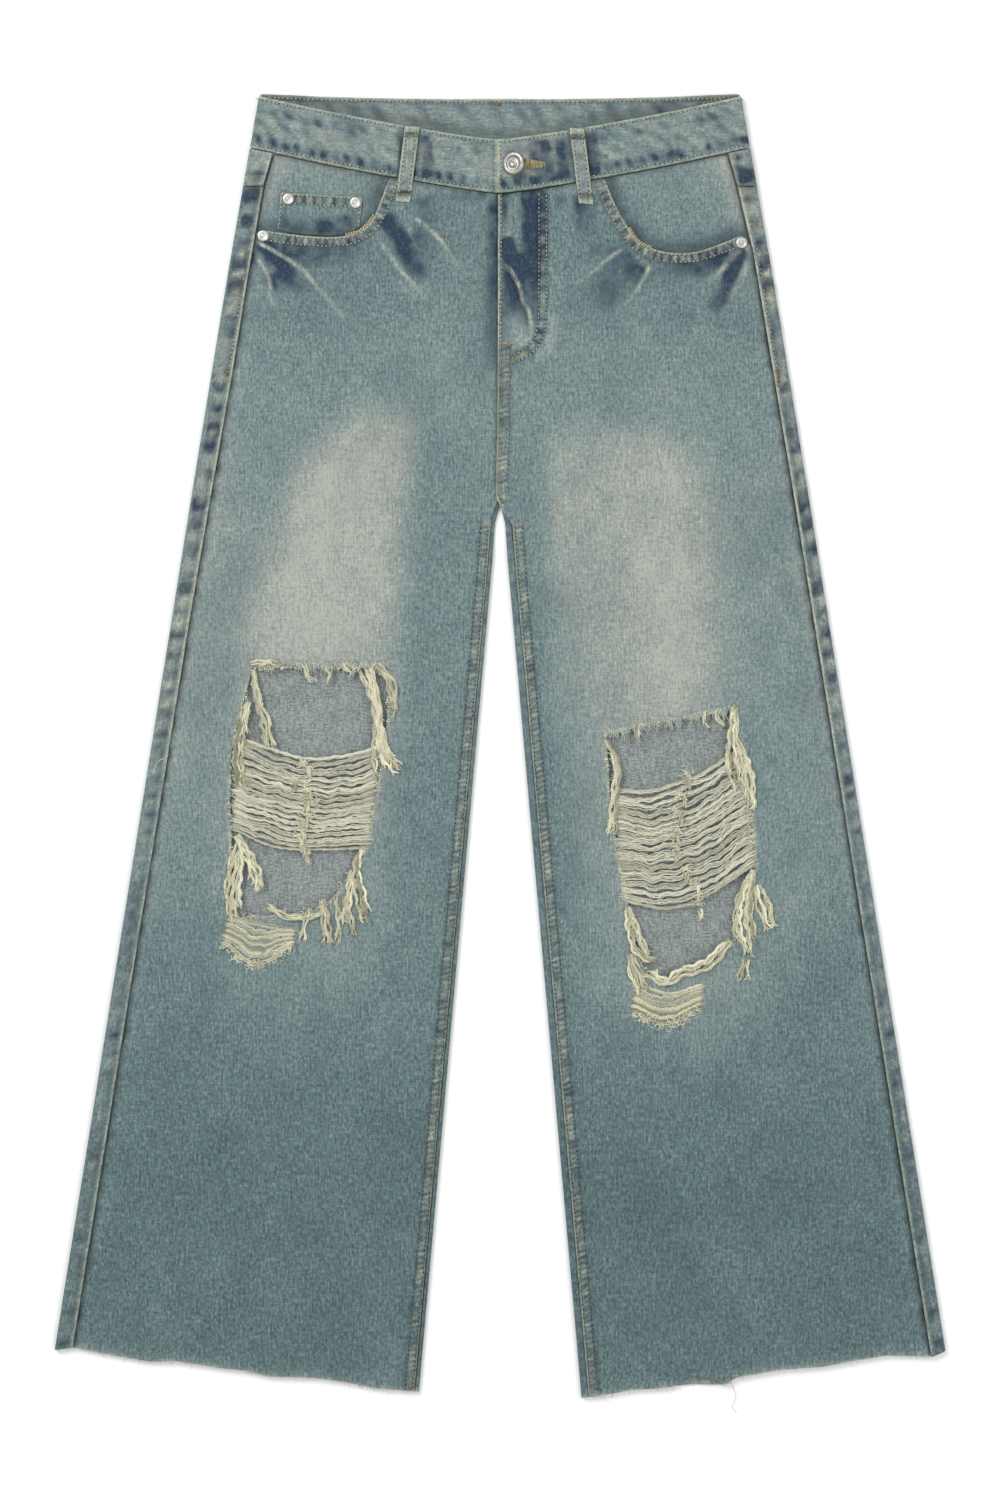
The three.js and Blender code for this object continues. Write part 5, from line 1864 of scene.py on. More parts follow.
@dataclass
class Back:
    """One back leg panel: it lies underneath, and comes round the side to the front."""

    side: Side

    def columns(self) -> tuple[Array, Array, Array]:
        """Shares of the flap, the underside and the front strip, from the seam inwards."""
        under = np.concatenate([[0.004, 0.01], np.linspace(0.02, 0.98, 34), [0.99, 0.996]])
        strip = np.concatenate([np.linspace(0.08, 0.86, 7), [0.93, 0.97, 1.0]])
        return np.array([1.0, 0.85, 0.5, 0.2]), under, strip

    def station(self, y: Array) -> Array:
        """Give one row of points across the panel for each y.

        Args:
            y: Heights, one for each row and column.

        Returns:
            For each row and column: x, z, outward x, outward z, and how far round the front.
        """
        flap, under, strip = self.columns()
        bend = np.linspace(0, 1, 7)
        runs = (flap, bend, under, bend, strip)
        share = np.concatenate(runs)
        parts = [np.repeat(range(5), [len(run) for run in runs]) == k for k in range(5)]

        def low(x: Array) -> Array:
            """Lowest face of the cloth along the row."""
            return Pattern.underside(self.side.value * x, y)

        inner, outer, seam = Pattern.inseam_x(y), Pattern.fold_x(y), Pattern.seam_x(self.side, y)
        flap_end = at(((169, Pattern.INSEAM_INSET[self.side]), (179, Pattern.ALLOWANCE)), y)
        radius = at(((158, 2 * DENIM + EASE), (166, 2 * DENIM + 0.3)), y) / 2
        wide = (low(seam) + 2 * DENIM + EASE + 0.4 - low(outer)) / 2
        angle = np.radians(np.select(parts, [90, 90 + 180 * share, 270, 180 * share - 90, 90]))
        cos, sin = np.cos(angle), np.sin(angle)
        x = np.select(parts, [
            inner + radius + (flap_end - radius) * share,
            inner + radius * (1 + cos),
            (inner + radius) * (1 - share) + (outer - wide) * share,
            outer - wide + wide * cos,
            (outer - wide) * (1 - share) + seam * share,
        ])
        edge = np.select([share == 1.0, share == 0.97], [0.75, 0.18], 0.0)
        z = np.select(parts, [
            low(inner) + 2 * radius - 0.5 * (share == 1.0),
            low(inner) + radius * (1 + sin),
            low(x),
            low(outer) + wide * (1 + sin),
            low(outer) * (1 - share) + low(seam) * share + 2 * wide - edge,
        ])
        front = np.select(parts, [0, 0, 0, (1 + sin) / 2, 1])
        return np.stack(np.broadcast_arrays(x, z, cos, sin, front), axis=-1)

    def count(self) -> int:
        """How many columns a station has."""
        return sum(map(len, self.columns())) + 14

    def settle(self, edge: Callable[[Array], Array], guess: float) -> Array:
        """Find the y of an edge in every column."""
        y = np.full((1, self.count()), guess)
        for _ in range(4):
            y = edge(self.station(y)[0])[None, :]
        return y[0]

    def hem_edge(self, row: Array) -> Array:
        """The raw hem's y for a row of station points."""
        return Pattern.hem_y(self.side.value * row[:, 0])

    def yoke_edge(self, row: Array, offset: float) -> Array:
        """The yoke seam's y for a row of station points."""
        x = np.where(row[:, 4] == 1, 180, row[:, 0])
        return Pattern.YOKE_Y + Pattern.YOKE_SLOPE * x + offset

    def waist_edge(self, row: Array) -> Array:
        """The waistband seam's y for a row of station points."""
        back = Pattern.back_band_bottom(row[:, 0])
        front = Pattern.band_bottom(row[:, 0])
        return back * (1 - row[:, 4]) + front * row[:, 4] - Pattern.BAND_SEAM

    def strip_top(self, x: Array, y: Array) -> Array:
        """Height of the strip that lies on the front."""
        return Pattern.underside(x, y) + 2 * DENIM + EASE + 0.4

    def piece(self, garment: Garment, names: tuple[str, str], lows: Array, highs: Array, step: float,
              rests: str) -> None:
        """Build the part of the back between two edges.

        Args:
            garment: What every piece shares.
            names: The piece's name and its CAD node's.
            lows: The lower edge's y in each column.
            highs: The upper edge's y in each column.
            step: Length of a row.
            rests: What it lies on.
        """
        rows = max(6, round(float((highs - lows).max()) / step))
        share = np.linspace(0, 1, rows + 1)
        share = np.unique(np.concatenate([share, [0.7 / (rows * step), 1 - 0.7 / (rows * step)]]))[:, None]
        y = lows * (1 - share) + highs * share
        sign = self.side.value
        x, z, nx, nz, front = np.moveaxis(self.station(y), -1, 0)
        on_front = (front > 0.6).ravel()
        xs, ys = (sign * x).ravel(), y.ravel()
        relief = np.zeros(len(xs))
        wash = np.zeros((len(xs), 4))
        for place, traces in ((on_front, strip_traces(self.side)), (~on_front, under_traces(self.side))):
            wash[place] = washed_and_shaded(traces, xs[place], ys[place])
            relief[place] = traced(traces, R, xs[place], ys[place])
        relief = relief.reshape(x.shape)
        edge = np.zeros(x.shape)
        edge[[0, -1]] = 0.4
        outer = np.stack([sign * (x + nx * (relief - edge)), y, z + nz * (relief - edge)], axis=-1)
        inner = np.stack([sign * (x - DENIM * nx), y, z - DENIM * nz + nz * relief], axis=-1)
        steps = np.hypot(*(np.diff(values, axis=1, prepend=values[:, :1]) for values in (x, z)))
        run = np.cumsum(steps, axis=1)
        solid = wall(outer, inner, np.stack([run, y], axis=-1), wash.reshape(*x.shape, 4))
        wide = run[:, -1]
        area = float(np.sum((wide[1:] + wide[:-1]) / 2 * np.diff(y, axis=0).mean(axis=1)))
        spans = (wide.max(), (highs - lows).max())
        lay(solid.build(names[0], garment.finishes.cloth), names[1], spans, area, rests)

    def build(self, garment: Garment) -> None:
        """Build the leg panel and the yoke above it."""
        word = self.side.word
        hem = self.settle(self.hem_edge, -500)
        low, high = (self.settle(lambda row, k=k: self.yoke_edge(row, k), 450) for k in (-0.3, 0.3))
        waist = self.settle(self.waist_edge, 470)
        panel, yoke = (f"back_panel_{word}", f"back_{word}"), (f"yoke_panel_{word}", f"yoke_{word}")
        self.piece(garment, panel, hem, low, 5.0, f"back_pocket_patch_{word}")
        self.piece(garment, yoke, high, waist, 2.4, f"loop_strip_back_{word}")
        self.sew(garment)

    def sew(self, garment: Garment) -> None:
        """Topstitch the strip on the front, and the seams underneath."""
        side, sign, sewing = self.side, self.side.value, garment.sewing
        sewing.row(seam_line(side, 3.2, np.linspace(303, 446, 50)), self.strip_top)
        seam_end = float(Pattern.seam_x(side, 300.0)) + 3.2
        low = 299 if side is Side.RIGHT else 290
        tack_end = (sign * (seam_end + (305 - low) / 12), low)
        sewing.bartack((sign * seam_end, 305), tack_end, 2.8, self.strip_top)
        for height in (457.5, 447.5):
            inner = float(Pattern.seam_x(side, height)) + 1.5
            outer = float(Pattern.fold_x(height)) - 3
            level = height - 4.5 * (side is Side.LEFT)
            sewing.row(Path(((sign * inner, level), (sign * outer, level + 1.5)), True), self.strip_top)
        for offset in (1.8, 7.5):
            sewing.row(yoke_line(side, -offset, 4.0, 100.0, 200.0), Pattern.underside, down=True)
            sewing.row(drawn(sign * (1.5 + offset), (200, 415)), Pattern.underside, down=True)


def strip_traces(side: Side) -> list[Trace]:
    """The wear and painted shade of the back's strip, where it lies on the front."""
    sign = side.value

    def beside(offset: float, low: float, high: float) -> Path:
        """A line beside the seam between two heights."""
        return seam_line(side, offset, np.linspace(low, high, 60))

    edge = beside(0.2, -490, 475)
    middle = beside(8.0, -490, 475)
    yoke_y = Pattern.YOKE_Y + Pattern.YOKE_SLOPE * 180
    fold = float(Pattern.fold_x(yoke_y))
    yoke = Path(((sign * (fold - 24), yoke_y), (sign * (fold + 4), yoke_y)), True)
    # The S traces are painted shade: along the stitch row beside the seam, and on both sides of the yoke
    # seam.
    return [
        Trace(B, edge, 0.5, 2.3, 0.5),
        Trace(B, beside(0.2, -40, 475), 0.5, 2.2, 0.4, 60),
        Trace(S, beside(4.5, -490, 440), 0.4, 2.4, 0.2),
        Trace(N, beside(8.0, 60, 475), 2.0, 8.0, 1.7, 0, 19.0, 1.0, slant=0.25, rough=0.9),
        Trace(N, beside(8.0, -490, 60), 1.0, 7.0, 0.75, 0, 14.0, 6.0, slant=0.2, rough=1.0),
        Trace(F, middle, 4.0, 9.0, 0.1),
        Trace(N, beside(4.0, -490, 475), 1.0, 5.0, 0.35, 0, 13.0, 2.6),
        Trace(B, beside(8.0, 0, 475), 2.0, 8.0, 0.6, 60, 17.0, 4.6, slant=0.25, rough=0.8),
        Trace(B, beside(8.0, -490, 60), 2.0, 7.0, 0.25, 20, 15.0, 1.6, slant=0.25, rough=0.9),
        Trace(R, middle, 3.0, 9.0, 0.5, 0, 26.0, 4.1),
        Trace(B, yoke.beside(-4.5), 4.2, 6.0, 0.3),
        Trace(N, yoke.beside(9.0), 3.0, 10.0, 0.7),
        Trace(S, yoke, 0.3, 1.8, 0.7),
        Trace(S, yoke.beside(-9.6), 0.3, 1.6, 0.4),
        Trace(B, yoke.beside(-22.0), 6.0, 16.0, 0.25),
        Trace(N, beside(8.0, 360, 405), 5.0, 9.0, 0.7, 10),
    ]


def under_traces(side: Side) -> list[Trace]:
    """The wear of the back's outer face, which lies on the floor, and painted shade round the pocket."""
    sign = side.value
    seat = Path(((sign * 90, 300), (sign * 110, 230), (sign * 130, 120)))
    knee = Path(((sign * 150, 10), (sign * 165, -120)))
    seam = Path(((sign * 3, 205), (sign * 3, 415)), True)
    yoke = yoke_line(side, 0.0, 0.0, 100.0, 205.0)
    inner = inseam(side, 3 - Pattern.INSEAM_INSET[side], (-522.0, 150.0, 190.0))
    ys = np.linspace(-490, 470, 40)
    fold = drawn(sign * (Pattern.fold_x(ys) - 5), ys)
    around = ring(Pattern.pocket(side))
    return [
        Trace(F, seat, 8, 85, 0.3, 70),
        Trace(F, knee, 5, 75, 0.16, 60),
        Trace(B, seam, 0.4, 2.2, 0.6),
        Trace(N, seam.beside(-sign * 4), 2.0, 5.0, 0.5, 0, 9.0),
        Trace(B, yoke, 0.4, 2.4, 0.6),
        Trace(N, yoke.beside(-sign * 5), 2.0, 6.0, 0.5, 0, 10.0),
        Trace(N, inner, 2.0, 6.0, 0.4, 0, 10.0),
        Trace(N, fold, 2.0, 9.0, 0.4, 0, 18.0),
        # Painted shade round the pocket's edge.
        Trace(S, around, 1.0, 5.0, 0.35),
        Trace(N, around, 2.0, 12.0, 0.3, 0, 16.0),
        Trace(B, hem_line(side), 0.3, 2.2, 0.6),
    ]


@dataclass
class BackPocket:
    """A pointed patch pocket on the back, facing the floor."""

    side: Side

    def build(self, garment: Garment) -> None:
        """Build the pocket and sew it."""
        sign, word, finishes = self.side.value, self.side.word, garment.finishes
        loop = Pattern.pocket(self.side)
        around = ring(loop)
        traces = [
            Trace(B, around, 0.5, 2.4, 0.7),
            Trace(N, around, 2.5, 8.0, 0.45, 0, 9.0),
            Trace(F, Path(((sign * 98, 370), (sign * 100, 300))), 8, 75, 0.28),
        ]
        panel = Panel(
            loop, lambda x, y: np.full(len(x), DENIM), lambda x, y: washed_and_shaded(traces, x, y),
            step=lambda y: 4.0, roll=0.4,
        )
        faces = [finishes.inside, finishes.denim, finishes.denim]
        panel.build((f"back_pocket_patch_{word}", f"back_pocket_{word}"), faces)
        centre = loop.mean(axis=0)
        for share in (0.965, 0.885):
            stitched = ring(centre + (loop - centre) * share)
            garment.sewing.row(stitched, lambda x, y: np.full(len(x), 0.22), down=True)


def on_band(x: Array, y: Array) -> Array:
    """Height of the front of the band."""
    return Pattern.band_face(x)


@dataclass
class Waistband:
    """The waistband, one strip folded round the waist and lapped at the centre front."""

    fold: float = BAND + 0.3
    GROWTH: ClassVar[float] = 1.035
    # How far in from its edge a row is sewn.
    ROW_IN: ClassVar[float] = 2.6
    # How much the face is lowered towards the folded edges, by the share of the band's height.
    ROLL: ClassVar[tuple[tuple[float, ...], ...]] = (
        (0, 0.018, 0.045, 0.955, 0.982, 1), (0.95, 0.22, 0, 0, 0.22, 0.95),
    )

    @property
    def top_half(self) -> float:
        """Half length of the fold line at the top edge."""
        return Pattern.WAIST_HALF - self.fold

    @property
    def bottom_half(self) -> float:
        """Half length of the fold line at the bottom edge."""
        return float(Pattern.fold_x(Pattern.WAIST_Y - Pattern.BAND_HEIGHT)) - self.fold

    def course(self) -> tuple[Array, Array, Array, Array]:
        """Give the stations round the waist, from the right end under the button to the left end.

        Returns:
            Each station's share of the half length, angle, place on the front, and lift.
        """
        half = self.top_half
        under = np.arange(Pattern.UNDERLAP_END, -half, -2.4) / half
        back = np.arange(-half, half, 3.0) / half
        edge = Pattern.EDGE_X
        over = np.concatenate([np.arange(half, edge + 1.2, -2.4), [edge + 0.1, edge - 0.7]]) / half
        turn = np.linspace(0, 1, 9)[1:-1]
        share = np.concatenate([under, [-1.0], np.full(7, -1.0), back, [1.0], np.full(7, 1.0), over])
        angle = np.concatenate([
            np.full(len(under) + 1, 90.0), 90 + 180 * turn, np.full(len(back) + 1, 270.0),
            270 + 180 * turn, np.full(len(over), 450.0),
        ])
        lift = np.zeros(len(share))
        lift[-len(over):] = Pattern.overlap_rise(over * half)
        front = (1 + np.sin(np.radians(angle))) / 2
        return share, np.radians(angle), front, lift

    def traces(self) -> tuple[list[Trace], list[Trace]]:
        """The wear and painted shade of the outer face on the front, and of the inner face at the back."""
        xs = np.linspace(-194, 194, 90)
        top = drawn(xs, Pattern.band_top(xs))
        bottom = drawn(xs * self.GROWTH, Pattern.band_bottom(xs * self.GROWTH))
        end = drawn(Pattern.EDGE_X - 0.7, (448, 491))
        back_top = drawn(xs, Pattern.back_band_top(xs / 195))
        front = [
            Trace(B, top, 0.5, 2.1, 0.7),
            Trace(B, bottom, 0.5, 1.9, 0.55),
            Trace(B, end, 0.5, 2.2, 0.8),
            # Painted shade beside the band's lapped end.
            Trace(S, end.beside(3.4), 0.6, 2.2, 0.3),
            Trace(N, top.beside(-11.0), 1.0, 6.0, 0.55, 0, 13.0, 0.6, slant=0.5, rough=0.9),
            Trace(N, bottom.beside(7.5), 1.0, 6.5, 1.0, 0, 10.5, 2.0, slant=0.3, rough=0.8),
            Trace(N, top.beside(-22.0), 1.0, 7.0, 0.35, 0, 17.0, 4.0, slant=0.8, rough=0.9),
            Trace(B, top.beside(-19.0), 2.0, 8.0, 0.3, 0, 21.0, 3.0, slant=0.9),
            Trace(B, top.beside(-8.0), 2.0, 7.0, 0.22, 0, 19.0, 3.7, slant=0.7),
            Trace(B, bottom.beside(14.0), 2.0, 7.0, 0.24, 0, 17.0, 5.2, slant=0.7),
            Trace(R, top.beside(-11.0), 2.0, 7.0, -0.5, 0, 13.0, 0.6, slant=0.5),
            Trace(R, bottom.beside(7.5), 1.5, 6.5, -0.55, 0, 9.5, 2.0, slant=0.3),
            Trace(R, top.beside(-19.0), 2.0, 8.0, 0.5, 0, 21.0, 3.0, slant=0.9),
            # Painted shade along the two rows of stitching.
            Trace(S, top.beside(-3.4), 0.3, 1.6, 0.3, 0, 4.0),
            Trace(S, bottom.beside(3.4), 0.3, 1.6, 0.36, 0, 4.0),
        ]
        for x0, amount in ((-80, 0.8), (-61, 0.75), (48, 1.0), (73, 1.0), (26, 0.7), (12, 0.4), (36, 0.8)):
            y1 = float(Pattern.band_top(x0)) - 3
            stain = Path(((x0, y1), (x0 + 3, y1 - 22), (x0 + 4, y1 - 38)), True)
            front.append(Trace(N, stain, 1.5, 7.0, amount, 4, rough=0.6))
        # Painted shadows down both sides of each front belt loop.
        for x0, lean in ((-70.9, -5.4), (62.0, 5.4)):
            y1 = float(Pattern.band_top(x0))
            for k in (-1, 1):
                side = Path(((x0 + k * 6.4, y1), (x0 + k * 6.4 + lean, y1 - 43)), True)
                front.append(Trace(S, side, 0.6, 3.0, 0.6))
        # The S traces here are painted shade: along the top row, and where the front band's top edge
        # overhangs.
        inner = [
            Trace(B, back_top, 0.4, 1.6, 0.5),
            Trace(S, back_top.beside(-3.4), 0.5, 1.8, 0.3),
            Trace(N, back_top.beside(-12.0), 4.0, 12.0, 0.6, 0, 19.0, 1.5, slant=0.7),
            Trace(B, back_top.beside(-16.0), 4.0, 12.0, 0.22, 0, 23.0, 4.6, slant=1.2),
            Trace(R, back_top.beside(-13.0), 4.0, 10.0, -0.35, 0, 19.0, 1.5, slant=0.7),
            Trace(S, top.beside(4.0), 1.5, 9.0, 0.42),
        ]
        return front, inner

    def build(self, garment: Garment) -> None:
        """Build the band and sew it."""
        share, angle, front, lift = self.course()
        edge = np.array([0.0, 0.018, 0.045, 0.07, 0.1])
        v = np.concatenate([edge, np.linspace(0.13, 0.87, 23), [0.9, 0.93, 0.955, 0.982, 1.0]])[:, None]
        top_x, bottom_x = share * self.top_half, share * self.bottom_half
        x = bottom_x * (1 - v) + top_x * v
        high = Pattern.back_band_top(share) * (1 - front) + Pattern.band_top(top_x) * front
        low = Pattern.back_band_bottom(bottom_x) * (1 - front) + Pattern.band_bottom(bottom_x) * front
        y = low * (1 - v) + high * v
        flat_x, flat_y = x.ravel(), y.ravel()
        on_front = np.broadcast_to(front > 0.5, x.shape).ravel()
        outside, inside_face = self.traces()
        wash = washed_and_shaded(outside, flat_x, flat_y)
        rope = Clouds(21, 5.0, 3.2, math.radians(62))(flat_x, flat_y)
        wash[:, 0] += 0.13 * rope
        wash[:, 1] += np.clip(-0.2 * rope, 0, 1)
        wash[~on_front] = washed_and_shaded(inside_face, flat_x[~on_front], flat_y[~on_front])
        relief = np.where(on_front, traced(outside, R, flat_x, flat_y), 0).reshape(x.shape)
        sunk = np.where(on_front, 0, traced(inside_face, R, flat_x, flat_y)).reshape(x.shape)
        roll = np.interp(v, *self.ROLL)
        end = np.ones(len(share))
        end[-1], end[-2] = 0.25, 0.85
        nx, nz = np.cos(angle), np.sin(angle)
        middle = Pattern.underside(x, Pattern.BAND_Y) + self.fold + lift
        outer_reach = self.fold - roll * 0.9 - (1 - end) * BAND * 0.8 + relief
        inner_reach = self.fold - BAND + roll * 0.45 + sunk * 0.4
        reaches = (outer_reach, inner_reach)
        outer, inner = (np.stack([x + reach * nx, y, middle + reach * nz], axis=-1) for reach in reaches)
        steps = np.hypot(np.diff(top_x, prepend=top_x[0]), np.diff(angle, prepend=angle[0]) * self.fold)
        uv = np.stack([y, np.broadcast_to(np.cumsum(steps), y.shape)], axis=-1)
        solid = wall(outer, inner, uv, wash.reshape(*x.shape, 4))
        piece = solid.build("waistband_strip", garment.finishes.faced)
        lay(piece, "waistband", (steps.sum(), Pattern.FRONT_BAND), None, "loop_strip_back_centre")
        self.sew(garment.sewing)

    def sew(self, sewing: Sewing) -> None:
        """Topstitch the edges of the band."""

        def beneath(x: Array, y: Array) -> Array:
            """Height of the back's outer face, which lies on the floor."""
            return Pattern.underside(x, Pattern.BAND_Y)

        def inner_face(x: Array, y: Array) -> Array:
            """Height of the back's inner face."""
            return beneath(x, y) + BAND

        for start, end in ((-191, Pattern.EDGE_X - 3), (Pattern.EDGE_X + 1.8, 191)):
            xs = np.linspace(start, end, 70) * self.GROWTH
            sewing.row(drawn(xs, Pattern.band_top(xs) - self.ROW_IN), on_band)
            sewing.row(drawn(xs, Pattern.band_bottom(xs) + self.ROW_IN), on_band)
        sewing.row(drawn(Pattern.EDGE_X + 1.9, (450, 488)), on_band)
        xs = np.linspace(-188, 188, 80)
        back = Pattern.back_band_top(xs / 195)
        sewing.row(drawn(xs, back - self.ROW_IN), inner_face)
        for offset in (-self.ROW_IN, -Pattern.BAND_HEIGHT + self.ROW_IN):
            sewing.row(drawn(xs, back + offset), beneath, down=True)
        sewing.bartack((-6.5, 519.3), (1.8, 519.3), 3.0, inner_face)
        for start, end in (((-184, 521.5), (-176, 523.5)), ((163, 519.6), (180, 523.6))):
            sewing.bartack(start, end, 2.4, inner_face)


@dataclass
class BeltLoop:
    """One belt loop: a folded strip bartacked at both ends."""

    name: str
    top: Point
    lean: float = 0.0
    under: bool = False
    width: float = 11.8
    length: float = 61.0

    # How far in the rows are sewn from the sides, and the bars from the ends.
    ROW_IN: ClassVar[float] = 2.1
    BAR_IN: ClassVar[float] = 5.6

    def centre(self, drop: Array | float) -> tuple[Array, Array]:
        """The middle of the strip at a distance down from its top."""
        return self.top[0] + self.lean * drop / self.length, self.top[1] - drop

    def face(self, x: Array, y: Array) -> Array:
        """Height of the outer face on the front."""
        drop = self.top[1] - y
        tail = 1 - near(drop, Pattern.FRONT_BAND + 1.5, self.length - 2)
        bulge = 0.8 * near(np.abs(drop - 21), 0, 21)
        side = Side.LEFT if self.top[0] > 0 else Side.RIGHT
        cloth = Pattern.band_face(x) * (1 - tail) + Pattern.front_top(x, y, side) * tail
        return cloth + CLEAR + bulge + LOOP

    def build(self, garment: Garment) -> None:
        """Build the loop and sew it."""
        edge = np.array([0.0, 0.5, 1.3])
        drops = np.concatenate([edge, np.linspace(2.5, self.length - 2.5, 44), (self.length - edge)[::-1]])
        across = np.array([-0.5, -0.46, -0.4, -0.25, -0.1, 0.0, 0.1, 0.25, 0.4, 0.46, 0.5])
        cx, cy = self.centre(drops)
        x = cx[:, None] + across * self.width
        y = cy[:, None] - 0.1 * across * self.width * (not self.under)
        end = np.minimum(drops, self.length - drops)[:, None]
        side = (0.5 - np.abs(across)) * self.width
        roll = sum(
            0.55 * (1 - np.sqrt(1 - (1 - np.clip(depth, 0, 1)) ** 2)) for depth in (side / 1.0, end / 1.2)
        )
        puff = 0.18 * near(np.abs(across) * self.width, 0, 4) * (1 - near(end, 6, 12))
        cap = 0.35 * near(np.abs(end - 3.4), 1.6, 3.6)
        middle = drawn(*self.centre(np.array([6.0, 30.0, 55.0])))
        long_x, long_y = self.centre(np.array([0.0, self.length]))
        traces = [
            *(Trace(B, drawn(long_x + k * self.width / 2, long_y), 0.5, 2.0, 0.75) for k in (-1, 1)),
            *(Trace(B, drawn((cx[k] - 6, cx[k] + 6), cy[k]), 1.6, 3.6, 0.7) for k in (0, -1)),
            # Painted shadow across the loop just inside each folded cap.
            *(Trace(S, drawn((cx[k] - 5, cx[k] + 5), cy[k]), 0.5, 2.6, 0.85) for k in (7, -8)),
            Trace(N, middle, 1.0, 4.5, 0.35, 0, 11.0, 1.0),
            Trace(B, middle, 1.0, 4.0, 0.25, 0, 13.0, 3.0),
        ]
        wash = washed_and_shaded(traces, x.ravel(), y.ravel()) + (0.14, 0, 0, 0)
        if self.under:
            name = self.name.replace("belt_loop", "loop_strip")
            heights = (np.broadcast_to(roll, x.shape), np.full(x.shape, LOOP))
        else:
            name = f"{self.name}_strip"
            z = self.face(x, y)
            heights = (z - roll + puff + cap - 0.35, z - LOOP)
        outer, inner = (np.stack([x, y, height], axis=-1) for height in heights)
        solid = wall(outer, inner, np.stack([x, y], axis=-1), wash.reshape(*x.shape, 4))
        rests = () if self.under else ("waistband_strip",)
        piece = solid.build(name, garment.finishes.faced)
        lay(piece, self.name, (self.width, self.length), None, *rests)
        self.sew(garment.sewing)

    def sew(self, sewing: Sewing) -> None:
        """Sew the two rows down the loop and the bar at each end."""

        def face(x: Array, y: Array) -> Array:
            """Height of the face that the thread lies on."""
            return np.full(np.shape(x), 0.05) if self.under else self.face(x, y) - 0.3

        x, y = self.centre(np.array([1.5, self.length - 1.5]))
        for k in (-1, 1):
            sewing.row(drawn(x + k * (self.width / 2 - self.ROW_IN), y), face, length=2.3, down=self.under)
        for drop in (self.BAR_IN, self.length - self.BAR_IN):
            x, y = self.centre(drop)
            sewing.bartack((x - 5.0, y), (x + 5.0, y), 2.0, face, self.under)


# ---- Metal ------------------------------------------------------------------------------


@dataclass
class Turned:
    """A round metal piece, raised step by step from a disc and set on the cloth."""

    name: str
    node: str
    radius: float
    steps: tuple[tuple[float, float], ...]
    seat: float = 0.5
    tilt: float = 0.0
    segments: int = 40
    bright: bool = False

    def build(self, garment: Garment) -> Piece:
        """Model the piece: extrude and scale a disc's top face through the steps.

        Returns:
            The finished piece, in its CAD node's place.
        """
        low, high = (np.array(corner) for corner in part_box(self.node))
        centre = (low + high) / 2
        bpy.ops.object.select_all(action="DESELECT")
        bpy.ops.mesh.primitive_circle_add(
            vertices=self.segments, radius=self.radius * MM, fill_type="NGON", location=(0, 0, 0)
        )
        piece = bpy.context.active_object
        piece.name = self.name
        piece.data.name = self.name
        bpy.ops.object.mode_set(mode="EDIT")
        bpy.ops.mesh.select_all(action="SELECT")
        reach = self.radius
        height = 0.0
        for wide, tall in self.steps:
            bpy.ops.mesh.extrude_region_move(
                TRANSFORM_OT_translate={"value": (0, 0, (tall - height) * MM), "orient_type": "GLOBAL"}
            )
            share = wide / reach
            bpy.ops.transform.resize(value=(share, share, 1))
            reach, height = wide, tall
        bpy.ops.mesh.select_all(action="SELECT")
        bpy.ops.mesh.normals_make_consistent(inside=False)
        bpy.ops.object.mode_set(mode="OBJECT")
        turn = Matrix.Rotation(self.tilt, 4, "Y")
        base = Vector((centre[0], centre[1], low[2] + self.seat * MM))
        piece.data.transform(Matrix.Translation(base) @ turn)
        piece.location = (0, 0, 0)
        bpy.ops.object.shade_smooth_by_angle(angle=math.radians(38))
        piece.data.materials.append(garment.finishes.bright if self.bright else garment.finishes.metal)
        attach(piece, "root")
        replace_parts(piece, self.node)
        LOG.info("%s at %.1f, %.1f mm", self.name, centre[0] / MM, centre[1] / MM)
        return piece


BUTTON_STEPS = (
    (2.3, 0.0), (2.3, 4.6), (8.4, 5.0), (9.1, 5.4), (9.4, 6.0), (9.3, 6.6), (8.8, 7.1), (8.2, 7.35),
    (7.0, 7.4), (6.3, 7.3), (5.9, 7.0), (5.6, 6.5), (5.2, 6.35), (3.3, 6.35), (3.0, 6.5), (2.9, 6.9),
    (2.5, 7.15), (1.5, 7.15), (1.2, 6.95), (0.4, 6.95),
)
RIVET_STEPS = (
    (4.6, 0.3), (4.55, 0.7), (4.2, 1.1), (3.6, 1.3), (2.7, 1.3), (2.3, 1.15), (2.0, 0.8), (1.5, 0.75),
    (1.3, 0.95), (1.1, 1.3), (0.7, 1.5), (0.2, 1.55),
)


